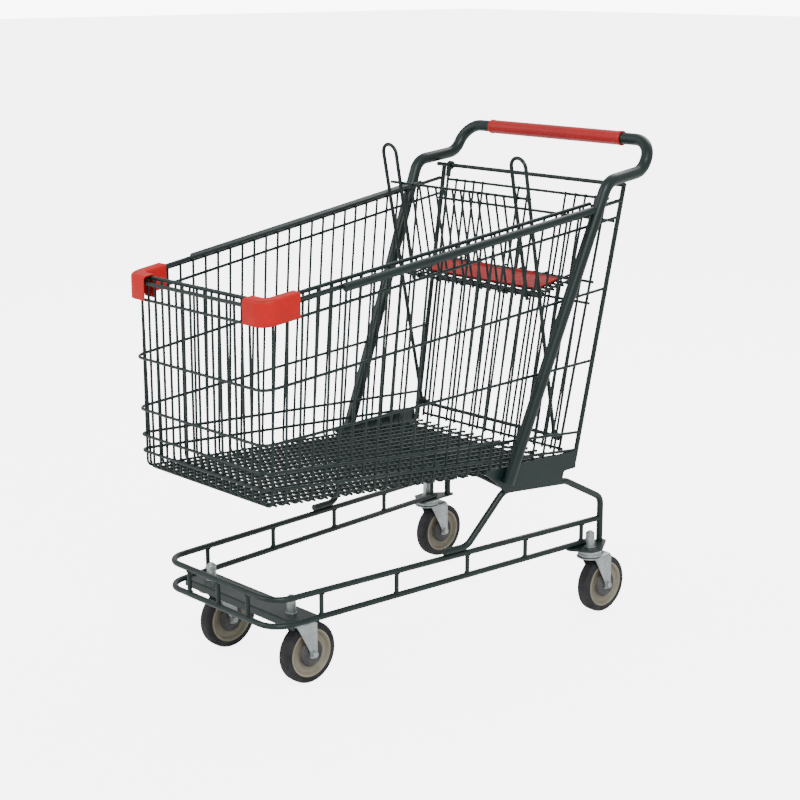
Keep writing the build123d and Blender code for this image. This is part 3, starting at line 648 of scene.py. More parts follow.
def hexagon(
    shape: bmesh.types.BMesh, centre: Point, axis: Point, size: float, height: float, bore: float
) -> None:
    """Adds a hexagon nut or head with chamfered corners, whose base sits at the centre point.

    Args:
        shape: The bmesh that gets the faces.
        centre: Middle of the seat face.
        axis: Direction away from the seat.
        size: Width across the corners, halved.
        height: Height of the hexagon.
        bore: Radius of the hole, or 0 for a closed head.
    """
    along = Vector(axis).normalized()
    side = along.orthogonal().normalized()
    other = along.cross(side)
    steps = 36
    angles = [2 * math.pi * step / steps for step in range(steps)]
    flat = size * math.cos(math.pi / 6)
    chamfer_start, chamfer_width, bore_lip = 0.80, 0.93, 0.4

    def row(offset: float, radii: Iterable[float]) -> list[bmesh.types.BMVert]:
        """Adds one row of points round the axis."""
        middle = Vector(centre) + along * offset
        turns = [side * math.cos(angle) + other * math.sin(angle) for angle in angles]
        return [shape.verts.new(middle + turn * radius) for turn, radius in zip(turns, radii)]

    def six_sided(limit: float) -> list[float]:
        """Radii of a hexagon whose corners are cut off at a limit."""
        return [min(flat / math.cos((angle % (math.pi / 3)) - math.pi / 6), limit) for angle in angles]

    rows = [
        row(0.0, six_sided(size)),
        row(height * chamfer_start, six_sided(size)),
        row(height, six_sided(flat * chamfer_width)),
    ]
    if bore:
        rows += [row(height - bore_lip, [bore] * steps), row(0.0, [bore] * steps), rows[0]]
    else:
        rows.append(row(height, [0.0] * steps))
        shape.faces.new(rows[0][::-1])
    for first, second in zip(rows, rows[1:]):
        for step in range(steps):
            beyond = (step + 1) % steps
            shape.faces.new((first[step], first[beyond], second[beyond], second[step]))


# ---------------------------------------------------------------- the basket's and gate's measures


@dataclass(frozen=True)
class Basket:
    """Where the basket's bars run."""

    front_x: float = 490.0
    half_width: float = 209.0
    splay: float = 0.063
    lean: float = 0.03
    rim_z: float = 777.0
    rim_rise: float = 0.138
    floor_z: float = 404.0
    floor_fall: float = 0.066
    hoop_z: tuple[float, ...] = (740.0, 622.0, 519.0, 467.0, 435.0)
    hoop_rise: tuple[float, ...] = (0.137, 0.108, 0.055, -0.067, -0.075)
    hoop_radius: float = 3.0
    wire_radius: float = 2.5
    front_wires: int = 17
    front_pitch: float = 22.5
    floor_fan: float = 1.22
    floor_rear_x: float = -301.0
    side_count: int = 25
    side_pitch: float = 29.5
    side_first: float = 22.0
    side_top_x: float = -321.0
    rim_stagger: float = 4.0

    def wall(self, x: float, z: float) -> float:
        """Half-width of the basket at a hoop's centreline."""
        return self.half_width + self.splay * (self.front_x - x) - self.lean * (self.rim_z - z)

    def rim(self, x: float) -> float:
        """Height of the rim."""
        return self.rim_z + self.rim_rise * (self.front_x - x)

    def floor(self, x: float) -> float:
        """Height of the lengthwise floor wires."""
        return self.floor_z - self.floor_fall * (self.front_x - x)

    def side_wire(self, number: int) -> tuple[Pair, Pair]:
        """Finds the ends of one side wire: the rear ones lean back.

        Args:
            number: The wire's number, from the front.

        Returns:
            Its foot and its head, as points of (along, up).
        """
        top_pitch = (self.front_x - self.side_first - self.side_top_x) / (self.side_count - 1)
        foot = self.front_x - self.side_first - number * self.side_pitch
        head = self.front_x - self.side_first - number * top_pitch
        return (foot, self.floor(foot)), (head, self.rim(head))

    def side_crossing(self, number: int, level: float, rise: float) -> Pair:
        """Finds where a side wire meets a lengthwise bar.

        Args:
            number: The wire's number, from the front.
            level: The bar's height at the front.
            rise: How fast the bar climbs towards the rear.

        Returns:
            The meeting point, as (along, up).
        """
        (foot, low), (head, high) = self.side_wire(number)
        tilt = (head - foot) / (high - low)
        height = (level + rise * (self.front_x - foot + tilt * low)) / (1 + rise * tilt)
        return foot + tilt * (height - low), height

    def front_ys(self) -> list[float]:
        """Places of the front wires across the basket."""
        middle = (self.front_wires - 1) / 2
        return [(number - middle) * self.front_pitch for number in range(self.front_wires)]

    def wall_crossings(self) -> list[Point]:
        """Finds where the front and side wires meet the hoops and the rim.

        Returns:
            The points.
        """
        points: list[Point] = []
        contact = self.front_x - self.hoop_radius
        for level in self.hoop_z:
            points += [(contact, y, level) for y in self.front_ys()]
        bars = list(zip(self.hoop_z, self.hoop_rise)) + [(self.rim_z - self.rim_stagger, self.rim_rise)]
        for level, rise in bars:
            for number in range(self.side_count):
                x, height = self.side_crossing(number, level, rise)
                reach = self.wall(x, height) - self.hoop_radius
                points += [(x, reach, height), (x, -reach, height)]
        return points

    def floor_crossings(self) -> list[Point]:
        """Finds where the floor's lengthwise and crosswise wires meet.

        Returns:
            The points.
        """
        points: list[Point] = []
        x = self.front_x - self.side_first
        while x > self.floor_rear_x:
            fan = 1.0 + (self.floor_fan - 1.0) * (self.front_x - x) / (self.front_x - self.floor_rear_x)
            points += [(x, y * fan, self.floor(x) - self.wire_radius) for y in self.front_ys()]
            x -= self.side_pitch / 2
        return points


@dataclass(frozen=True)
class Gate:
    """Where the gate's and the seat's bars run, at rest."""

    hinge_x: float = -401.0
    hinge_z: float = 927.0
    lean: float = 10.5
    half_width: float = 236.0
    length: float = 571.0
    taper: float = 0.115
    cross_out: float = -1.0
    hoop_radius: float = 3.0
    cross_drops: tuple[float, ...] = (32.0, 207.5, 252.5, 566.0)
    tall: tuple[float, ...] = (14.0, 124.0, 152.0, 180.0, 208.0)
    short: tuple[float, ...] = (41.5, 69.0, 96.5)

    def point(self, drop: float, out: float, y: float = 0.0) -> Point:
        """Finds a point of the gate.

        Args:
            drop: Distance below the hinge.
            out: Distance in front of the hinge.
            y: Place across the trolley.

        Returns:
            The point.
        """
        turn = math.radians(self.lean)
        x = self.hinge_x + drop * math.sin(turn) + out * math.cos(turn)
        z = self.hinge_z - drop * math.cos(turn) + out * math.sin(turn)
        return (x, y, z)

    def spread(self, drop: float) -> float:
        """How far the gate has tapered at a drop."""
        return 1.0 - self.taper * drop / self.length

    def crossings(self) -> list[Point]:
        """Finds where the gate's uprights meet its cross wires.

        Returns:
            The points.
        """
        points = []
        contact = self.cross_out + self.hoop_radius
        for number, drop in enumerate(self.cross_drops):
            heads = self.tall + (self.short if number else ())
            for head in heads + (self.half_width,):
                reach = head * self.spread(drop)
                points += [self.point(drop, contact, reach), self.point(drop, contact, -reach)]
        return points


# ---------------------------------------------------------------- welds


class Bead(Enum):
    """Forms of weld."""

    SPOT = "weld spots"
    RING = "weld rings"


@dataclass
class Welder:
    """Lays weld spots and weld rings with Geometry Nodes."""

    palette: Palette
    trees: dict[Bead, bpy.types.NodeTree] = field(default_factory=dict)

    def spot_tree(self) -> bpy.types.NodeTree:
        """Builds the tree that sets a small uneven lump on each point.

        Returns:
            The tree.
        """
        group = new_group(
            Bead.SPOT.value,
            "GeometryNodeTree",
            {
                "Geometry": (Socket.GEOMETRY, None),
                "Radius": (Socket.NUMBER, 0.003),
                "Seed": (Socket.WHOLE, 3),
                "Finish": (Socket.MATERIAL, None),
            },
            {"Geometry": Socket.GEOMETRY},
        )
        tree = Tree(group)
        start, end = ends(group)
        lump = tree.add("GeometryNodeMeshIcoSphere")
        tree.put(lump, Radius=start.outputs["Radius"], Subdivisions=2)
        size = tree.add("FunctionNodeRandomValue", data_type="FLOAT_VECTOR")
        size.inputs["Min"].default_value = (0.75, 0.75, 0.75)
        size.inputs["Max"].default_value = (1.2, 1.2, 1.2)
        tree.link(start.outputs["Seed"], size.inputs["Seed"])
        place = tree.add("GeometryNodeInstanceOnPoints")
        tree.put(
            place,
            Points=start.outputs["Geometry"],
            Instance=lump.outputs["Mesh"],
            Scale=size.outputs["Value"],
        )
        real = tree.add("GeometryNodeRealizeInstances")
        tree.put(real, Geometry=place.outputs["Instances"])
        self.close_tree(tree, real.outputs[0], start, end)
        return group

    def ring_tree(self) -> bpy.types.NodeTree:
        """Builds the tree that lays a rippled ring round each point's direction.

        Returns:
            The tree.
        """
        group = new_group(
            Bead.RING.value,
            "GeometryNodeTree",
            {
                "Geometry": (Socket.GEOMETRY, None),
                "Thickness": (Socket.NUMBER, 0.0022),
                "Ripple": (Socket.NUMBER, 0.0012),
                "Finish": (Socket.MATERIAL, None),
            },
            {"Geometry": Socket.GEOMETRY},
        )
        tree = Tree(group)
        start, end = ends(group)
        direction = tree.add("GeometryNodeInputNamedAttribute", data_type="FLOAT_VECTOR")
        direction.inputs["Name"].default_value = "direction"
        radius = tree.add("GeometryNodeInputNamedAttribute", data_type="FLOAT")
        radius.inputs["Name"].default_value = "ring"
        turn = tree.add("FunctionNodeAlignRotationToVector", axis="Z")
        tree.link(direction.outputs[0], turn.inputs["Vector"])
        circle = tree.add("GeometryNodeCurvePrimitiveCircle")
        circle.inputs["Resolution"].default_value = 40
        circle.inputs["Radius"].default_value = 1.0
        place = tree.add("GeometryNodeInstanceOnPoints")
        tree.put(
            place,
            Points=start.outputs["Geometry"],
            Instance=circle.outputs["Curve"],
            Rotation=turn.outputs[0],
            Scale=radius.outputs[0],
        )
        real = tree.add("GeometryNodeRealizeInstances")
        tree.put(real, Geometry=place.outputs["Instances"])
        section = tree.add("GeometryNodeCurvePrimitiveCircle")
        section.inputs["Resolution"].default_value = 8
        tree.link(start.outputs["Thickness"], section.inputs["Radius"])
        tube = tree.add("GeometryNodeCurveToMesh")
        tree.put(tube, Curve=real.outputs[0], Profile_Curve=section.outputs["Curve"])
        where = tree.add("GeometryNodeInputPosition")
        waves = tree.add("ShaderNodeTexNoise")
        tree.put(waves, Vector=where.outputs[0], Scale=260.0, Detail=1.0)
        lift = tree.maths("MULTIPLY", tree.maths("SUBTRACT", waves.outputs[0], 0.5), start.outputs["Ripple"])
        normal = tree.add("GeometryNodeInputNormal")
        push = tree.add("ShaderNodeVectorMath", operation="SCALE")
        tree.link(normal.outputs[0], push.inputs[0])
        tree.link(lift, push.inputs["Scale"])
        shift = tree.add("GeometryNodeSetPosition")
        tree.put(shift, Geometry=tube.outputs["Mesh"], Offset=push.outputs[0])
        self.close_tree(tree, shift.outputs[0], start, end)
        return group

    @staticmethod
    def close_tree(
        tree: Tree, geometry: bpy.types.NodeSocket, start: bpy.types.Node, end: bpy.types.Node
    ) -> None:
        """Ends a tree with its material.

        Args:
            tree: The tree.
            geometry: The real geometry.
            start: The group's input node.
            end: The group's output node.
        """
        dress = tree.add("GeometryNodeSetMaterial")
        tree.put(dress, Geometry=geometry, Material=start.outputs["Finish"])
        tree.link(dress.outputs[0], end.inputs["Geometry"])

    def lay(
        self,
        name: str,
        bead: Bead,
        points: Sequence[Point],
        body: str,
        finish: str = "green weld under coat",
        slot: str = "green_coat",
        directions: Sequence[Point] = (),
        radii: Sequence[float] = (),
        **sizes: float,
    ) -> bpy.types.Object:
        """Lays one group of welds and makes it a plain piece.

        Args:
            name: The piece's name.
            bead: The form of weld.
            points: Where the welds go.
            body: The body that they move with.
            finish: The finish's name.
            slot: The record's material slot; not used.
            directions: For rings, the direction of each bar.
            radii: For rings, the radius of each ring.
            sizes: The tree's named sizes, in metres.

        Returns:
            The piece.
        """
        if bead not in self.trees:
            self.trees[bead] = self.spot_tree() if bead is Bead.SPOT else self.ring_tree()
        tree = self.trees[bead]
        seeds = bpy.data.meshes.new(name + " points")
        seeds.from_pydata([tuple(value * MM for value in point) for point in points], [], [])
        if directions:
            course = seeds.attributes.new("direction", "FLOAT_VECTOR", "POINT")
            course.data.foreach_set("vector", [value for direction in directions for value in direction])
            size = seeds.attributes.new("ring", "FLOAT", "POINT")
            size.data.foreach_set("value", [radius * MM for radius in radii])
        carrier = bpy.data.objects.new(name + " points", seeds)
        bpy.context.scene.collection.objects.link(carrier)
        modifier = carrier.modifiers.new("welds", "NODES")
        modifier.node_group = tree
        values = {label.replace("_", " ").title(): value for label, value in sizes.items()}
        values["Finish"] = self.palette[finish]
        for item in tree.interface.items_tree:
            if item.in_out == "INPUT" and item.name in values:
                modifier[item.identifier] = values[item.name]
        bpy.context.view_layer.update()
        evaluated = carrier.evaluated_get(bpy.context.evaluated_depsgraph_get())
        mesh = bpy.data.meshes.new_from_object(evaluated)
        bpy.data.objects.remove(carrier)
        return finish_piece(name, mesh, self.palette[finish], body, crease=80.0)


# ---------------------------------------------------------------- castors


@dataclass
class Castor:
    """One castor: fork, wheel and hardware."""

    palette: Palette
    corner: str
    wheel_radius: float = 62.5
    tyre_depth: float = 13.5
    half_tyre: float = 15.0
    bush_radius: float = 10.0
    hub_radius: float = 15.0
    fork_half: float = 19.0
    sheet: float = 2.5
    crown_z: float = 130.5
    crown_radius: float = 28.0
    crown_bore: float = 6.1
    shoulder: float = 7.0
    foot_radius: float = 9.5
    knee: float = 4.0
    toe: float = 8.5
    sweep: float = 34.5
    curve: float = 1.05
    heel: float = 9.0
    bolt_radius: float = 4.0
    bolt_end: float = 9.0
    washer_radius: float = 8.4
    washer_sheet: float = 1.2
    nut_size: float = 7.2
    head_height: float = 5.2
    nut_height: float = 5.4

    def __post_init__(self) -> None:
        """Reads the castor's place from the frame's joints."""
        self.stem = joint_place(f"{self.corner}_swivel_turn")
        self.axle = joint_place(f"{self.corner}_wheel_spin")

    def build(self) -> None:
        """Builds every piece of the castor."""
        self.tyre()
        self.centre()
        self.guards()
        self.fork()
        self.axle_bolt()

    def turned(
        self,
        name: str,
        profiles: Iterable[Sequence[Pair]],
        finish: str,
        slot: str,
        replaced: str,
        steps: int = 96,
    ) -> bpy.types.Object:
        """Turns profiles about the axle and makes one piece of the wheel.

        Args:
            name: The piece's name, after the corner's.
            profiles: Closed profiles of (offset along the axle, radius).
            finish: The finish's name.
            slot: The record's material slot; not used.
            replaced: The frame node that it stands for, after the corner's name.
            steps: Steps round the axle.

        Returns:
            The piece.
        """
        shape = bmesh.new()
        for profile in profiles:
            lathe(shape, profile, self.axle, steps=steps)
        return finish_piece(
            f"{self.corner}_{name}",
            to_mesh(shape),
            self.palette[finish],
            f"{self.corner}_wheel",
            [f"{self.corner}_{replaced}"],
        )

    def tyre(self) -> bpy.types.Object:
        """Builds the tyre, with its round shoulders and its mould line.

        Returns:
            The piece.
        """
        inner = self.wheel_radius - self.tyre_depth
        half = self.half_tyre
        outline = rounded(
            [
                (-half + 0.6, inner),
                (-half, inner + 2.0),
                (-half, self.wheel_radius - 5.5),
                (-half + 4.5, self.wheel_radius - 0.5),
                (-0.9, self.wheel_radius - 0.02),
                (-0.3, self.wheel_radius),
                (0.3, self.wheel_radius),
                (0.9, self.wheel_radius - 0.02),
                (half - 4.5, self.wheel_radius - 0.5),
                (half, self.wheel_radius - 5.5),
                (half, inner + 2.0),
                (half - 0.6, inner),
            ],
            5.0,
            4,
        )
        return self.turned("tyre_moulded", [outline], "tyre rubber", "tyre", "tyre", 128)

    def centre(self) -> bpy.types.Object:
        """Builds the wheel centre: a rim, a thin web and a hub.

        Returns:
            The piece.
        """
        rim = self.wheel_radius - self.tyre_depth
        half = self.half_tyre
        outline = rounded(
            [
                (-half + 0.8, rim + 0.3),
                (-half + 0.8, rim - 4.2),
                (-6.5, rim - 8.0),
                (-4.0, rim - 14.0),
                (-4.0, self.hub_radius + 6.0),
                (-6.5, self.hub_radius + 1.5),
                (-half, self.hub_radius),
                (-half, self.bush_radius),
                (half, self.bush_radius),
                (half, self.hub_radius),
                (6.5, self.hub_radius + 1.5),
                (4.0, self.hub_radius + 6.0),
                (4.0, rim - 14.0),
                (6.5, rim - 8.0),
                (half - 0.8, rim - 4.2),
                (half - 0.8, rim + 0.3),
            ],
            1.6,
            4,
        )
        return self.turned(
            "wheel_centre_moulded", [outline], "wheel centre nylon", "wheel_centre", "wheel_centre"
        )

    def guards(self) -> bpy.types.Object:
        """Builds the pair of dark thread guards, each a dished disc with a raised lip.

        Returns:
            The piece.
        """
        profiles = []
        for side in (-1, 1):
            face = side * self.half_tyre
            profiles.append(
                rounded(
                    [
                        (face, self.bush_radius),
                        (face + side * 2.0, self.bush_radius),
                        (face + side * 2.0, self.hub_radius + 1.0),
                        (face + side * 1.0, self.hub_radius + 2.5),
                        (face + side * 1.2, self.hub_radius + 9.5),
                        (face - side * 1.6, self.hub_radius + 12.5),
                        (face - side * 2.6, self.hub_radius + 12.0),
                        (face - side * 0.4, self.hub_radius + 8.0),
                    ],
                    0.9,
                    3,
                )
            )
        return self.turned(
            "thread_guards_dished", profiles, "dark moulded plastic", "thread_guard", "thread_guards"
        )

    def leg_edges(self, height: float) -> Pair:
        """Finds how far the fork's edges stand from the axle at a height.

        Args:
            height: Height above the floor.

        Returns:
            The front edge's distance and the rear edge's distance.
        """
        above = height - self.axle[2]
        share = max(0.0, min(1.0, (above - self.knee) / (self.crown_z - self.axle[2] - self.knee)))
        front = self.toe + self.sweep * share**self.curve
        if above >= 0:
            return front, self.heel
        depth = max(0.2, math.sqrt(max(0.0, self.foot_radius**2 - above**2)))
        return min(front, depth), min(self.heel + 1.5, depth)

    def fork_course(self) -> list[Pair]:
        """Finds the middle line of the fork's sheet: up one leg, over the crown and down the other.

        Returns:
            Points of (across, up), about the middle of the castor.
        """
        top = self.crown_z + self.sheet / 2
        reach = self.fork_half + self.sheet / 2
        foot = self.axle[2] - self.foot_radius
        leg_steps = 21
        leg_height = top - self.shoulder - foot
        course = [(-reach, foot + leg_height * (step / leg_steps)) for step in range(leg_steps + 1)]
        for step in range(1, 7):
            angle = math.radians(15 * step)
            across = -reach + self.shoulder * (1 - math.cos(angle))
            course.append((across, top - self.shoulder * (1 - math.sin(angle))))
        course += [(-self.shoulder, top), (0.0, top)]
        return course + [(-y, z) for y, z in course[-2::-1]]

    def fork(self) -> bpy.types.Object:
        """Builds the pressed fork: a saddle of sheet with round shoulders, and a stamped crown.

        Returns:
            The piece.
        """
        shape = bmesh.new()
        columns = 8
        rows = []
        for y, z in self.fork_course():
            front, rear = self.leg_edges(z)
            start = self.axle[0] - rear
            along = [start + (front + rear) * number / columns for number in range(columns + 1)]
            rows.append([shape.verts.new((x, self.axle[1] + y, z)) for x in along])
        for first, second in zip(rows, rows[1:]):
            for number in range(columns):
                shape.faces.new((first[number], first[number + 1], second[number + 1], second[number]))
        self.thicken(shape, self.sheet)
        crown = rounded(
            [
                (0.0, self.crown_bore),
                (0.0, self.crown_radius),
                (self.sheet, self.crown_radius),
                (self.sheet, 23.0),
                (self.sheet + 0.25, 22.6),
                (self.sheet + 0.25, self.crown_bore),
            ],
            0.7,
            2,
        )
        lathe(shape, crown, (self.stem[0], self.stem[1], self.crown_z), (0, 0, 1), 72)
        return finish_piece(
            f"{self.corner}_fork_pressed",
            to_mesh(shape),
            self.palette["zinc plate"],
            f"{self.corner}_swivel",
            [f"{self.corner}_fork"],
        )

    @staticmethod
    def thicken(shape: bmesh.types.BMesh, thickness: float) -> None:
        """Gives a single sheet of faces an even thickness, half to each side.

        Args:
            shape: The bmesh with the sheet.
            thickness: The wall's thickness.
        """
        bmesh.ops.recalc_face_normals(shape, faces=shape.faces)
        shape.normal_update()
        faces = list(shape.faces)
        for vert in shape.verts:
            vert.co += vert.normal * thickness / 2
        bmesh.ops.solidify(shape, geom=faces, thickness=thickness)

    def axle_bolt(self) -> bpy.types.Object:
        """Builds the axle bolt, its washers and its lock nut.

        Returns:
            The piece.
        """
        shape = bmesh.new()
        x, y, z = self.axle
        face = self.fork_half + self.sheet
        seat = face + self.washer_sheet
        radius = self.bolt_radius
        tip = -face - self.bolt_end
        shank = [(tip, 0.0), (tip, radius - 0.6), (tip + 0.6, radius), (face, radius), (face, 0.0)]
        lathe(shape, shank, self.axle, steps=32)
        for side in (-1, 1):
            inner, outer, around = side * face, side * seat, self.washer_radius
            washer = [(inner, radius), (inner, around), (outer, around), (outer, radius)]
            lathe(shape, rounded(washer, 0.3, 2), self.axle, steps=48)
        hexagon(shape, (x, y + seat, z), (0, 1, 0), self.nut_size, self.head_height, 0.0)
        hexagon(shape, (x, y - seat, z), (0, -1, 0), self.nut_size, self.nut_height, radius)
        lock = -seat - self.head_height
        collar = [(lock, radius), (lock, radius + 1.9), (lock - 1.6, radius + 1.2), (lock - 1.6, radius)]
        lathe(shape, collar, self.axle, steps=36)
        return finish_piece(
            f"{self.corner}_axle_hardware",
            to_mesh(shape),
            self.palette["zinc plate"],
            f"{self.corner}_swivel",
            [f"{self.corner}_axle_bolt"],
        )


@dataclass
class CastorMounts:
    """The fixed hardware over the castors: raceways, king bolts and nuts."""

    palette: Palette
    corners: tuple[str, ...]
    mount_z: float = 148.0
    sheet: float = 4.0
    stem_radius: float = 6.0
    race_z: float = 133.0
    head_low: float = 127.0
    head_high: float = 130.2
    head_radius: float = 10.5
    washer_radius: float = 11.6
    washer_sheet: float = 1.6
    sleeve_radius: float = 9.6
    sleeve_top: float = 24.0
    nut_size: float = 10.6
    nut_height: float = 9.0
    stem_top: float = 36.0

    def build(self) -> None:
        """Builds the raceways and the nuts."""
        self.races()
        self.nuts()

    def stems(self) -> list[Point]:
        """Middles of the four swivels."""
        return [joint_place(f"{corner}_swivel_turn") for corner in self.corners]

    def races(self) -> bpy.types.Object:
        """Builds the pressed raceways with their rolled edges and dust rings.

        Returns:
            The piece.
        """
        shape = bmesh.new()
        bore = self.stem_radius + 0.1
        lower_cup = [(0.4, bore), (0.4, 22.0), (1.2, 24.6), (5.8, 25.6), (6.6, 23.6)]
        upper_cup = [(7.4, 24.0), (9.0, 25.4), (14.6, 24.8), (14.6, bore)]
        outline = rounded(lower_cup + upper_cup, 1.4, 3)
        for x, y, _ in self.stems():
            lathe(shape, outline, (x, y, self.race_z), (0, 0, 1), 72)
        return finish_piece(
            "castor_races_pressed",
            to_mesh(shape),
            self.palette["zinc plate"],
            "frame",
            ["castor_races"],
        )

    def nuts(self) -> bpy.types.Object:
        """Builds each king bolt with its round head, spacer sleeve, washer and hexagon nut.

        Returns:
            The piece.
        """
        seat = self.mount_z + self.sheet
        bore = self.stem_radius
        low, high, wide = self.head_low, self.head_high, self.head_radius
        head = [(low, 0.0), (low, wide - 1.5), (low + 1.0, wide), (high, wide), (high, 0.0)]
        tip = seat + self.stem_top
        shank = [(high, 0.0), (high, bore), (tip - 1.0, bore), (tip, bore - 0.8), (tip, 0.0)]
        over = seat + self.washer_sheet
        washer = [(seat, bore), (seat, self.washer_radius), (over, self.washer_radius), (over, bore)]
        top = seat + self.sleeve_top
        around = self.sleeve_radius
        sleeve = [(over, bore), (over, around), (top - 1.0, around), (top, around - 0.8), (top, bore)]
        turned = ((head, 40), (shank, 40), (rounded(washer, 0.4, 2), 48), (sleeve, 48))
        shape = bmesh.new()
        for x, y, _ in self.stems():
            for profile, steps in turned:
                lathe(shape, profile, (x, y, 0.0), (0, 0, 1), steps)
            hexagon(shape, (x, y, top), (0, 0, 1), self.nut_size, self.nut_height, bore)
        return finish_piece(
            "castor_king_bolts_detailed",
            to_mesh(shape),
            self.palette["zinc plate"],
            "frame",
            ["castor_king_bolts"],
        )


# ---------------------------------------------------------------- red mouldings


@dataclass
class HandleSleeve:
    """The red sleeve on the handle: a tube with a rolled collar at each end and a parting line."""

    palette: Palette
    centre: Point = (-489.2, 0.0, 1011.0)
    bore: float = 12.7
    outer: float = 15.0
    collar: float = 15.8
    half_length: float = 193.0
    collar_length: float = 6.0
    seam_inset: float = 8.0

    def build(self) -> bpy.types.Object:
        """Builds the sleeve.

        Returns:
            The piece.
        """
        end = self.half_length
        corners: list[Pair] = [(-end, self.bore), (-end, self.collar - 0.6), (-end + 1.0, self.collar)]
        corners += [(-end + self.collar_length, self.collar), (-end + self.collar_length + 1.2, self.outer)]
        corners += [(-y, radius) for y, radius in corners[::-1]]
        shape = bmesh.new()
        lathe(shape, rounded(corners, 0.8, 3), self.centre, steps=96)
        seam_end = end - self.seam_inset
        sunk, proud, half_seam = 0.15, 0.25, 0.5
        for side in (-1, 1):
            x = self.centre[0] + side * (self.outer - sunk)
            low, high = self.centre[2] - half_seam, self.centre[2] + half_seam
            outline = [(x, -seam_end, low), (x, seam_end, low), (x, seam_end, high), (x, -seam_end, high)]
            prism(shape, outline, Vector((side * (sunk + proud), 0, 0)))
        return finish_piece(
            "handle_sleeve_moulded",
            to_mesh(shape),
            self.palette["sleeve red"],
            "frame",
            ["handle_sleeve"],
        )


@dataclass
class Bumper:
    """A moulded cap over one front corner of the rim."""

    palette: Palette
    side: int
    basket: Basket
    middle: float = -5.45
    low: float = 36.0
    high: float = 11.6
    wall: float = 2.6
    cavity: float = 22.9
    front_leg: float = 50.0
    side_leg: float = 68.0
    bend: float = 20.0
    crown: float = 6.0

    def course(self) -> list[tuple[Vector, Vector]]:
        """Finds the cap's middle line, seen from above.

        Returns:
            Pairs of a point and the outward direction there.
        """
        nose_x = self.basket.front_x + self.middle
        nose_y = self.basket.half_width + self.middle
        turn = math.atan(self.basket.splay)
        start = Vector((nose_x, nose_y - self.front_leg))
        corner = Vector((nose_x, nose_y))
        end = Vector((nose_x - self.side_leg, nose_y + self.basket.splay * self.side_leg))
        angle = math.pi / 2 - turn
        reach = self.bend * math.tan(angle / 2)
        first = corner + Vector((0, -reach))
        centre = first + Vector((-self.bend, 0))
        along = (end - corner).normalized()
        last = corner + along * reach
        stations = [(start.lerp(first, share / 4), Vector((1, 0))) for share in range(5)]
        for step in range(1, 12):
            here = angle * step / 12
            direction = Vector((math.cos(here), math.sin(here)))
            stations.append((centre + direction * self.bend, direction))
        outwards = Vector((along.y, -along.x))
        stations += [(last.lerp(end, share / 5), outwards) for share in range(6)]
        return stations

    def section(self) -> list[Pair]:
        """Finds the cap's cross section, which is open at the bottom.

        Returns:
            Points of (outwards, up).
        """
        half = self.cavity / 2 + self.wall
        inner = self.cavity / 2
        top = self.high
        outer = [(-half + 0.6, -self.low), (-half, -self.low + 1.0), (-half, top - self.crown)]
        for step in range(1, 7):
            angle = math.radians(15 * step)
            across = -half + self.crown * (1 - math.cos(angle))
            outer.append((across, top - self.crown * (1 - math.sin(angle))))
        outer += [(-outward, up) for outward, up in outer[::-1]]
        ceiling = top - self.wall
        cavity = [(inner, -self.low), (inner, ceiling - 3.0), (inner - 3.0, ceiling)]
        cavity += [(-outward, up) for outward, up in cavity[::-1]]
        return outer + cavity

    def build(self) -> bpy.types.Object:
        """Builds the cap.

        Returns:
            The piece.
        """
        shape = bmesh.new()
        section = self.section()
        slope = self.basket.rim_rise
        rings = []
        stations = self.course()
        for number, (place, outwards) in enumerate(stations):
            ring = []
            for outward, up in section:
                x = place.x + outwards.x * outward
                y = place.y + outwards.y * outward
                deck = self.basket.rim_z + slope * (self.basket.front_x + self.middle - x)
                ring.append(shape.verts.new((x, self.side * y, deck + up)))
            rings.append(ring)
        count = len(section)
        for first, second in zip(rings, rings[1:]):
            for number in range(count):
                beyond = (number + 1) % count
                shape.faces.new((first[number], first[beyond], second[beyond], second[number]))
        shape.faces.new(rings[0])
        shape.faces.new(rings[-1][::-1])
        name = "left" if self.side > 0 else "right"
        piece = finish_piece(
            f"bumper_{name}_moulded",
            to_mesh(shape),
            self.palette["bumper red"],
            "frame",
            [f"bumper_{name}"],
        )
        bevel = piece.modifiers.new("soft edges", "BEVEL")
        bevel.width = 1.4 * MM
        bevel.segments = 3
        bevel.limit_method = "ANGLE"
        bevel.angle_limit = math.radians(50)
        return piece


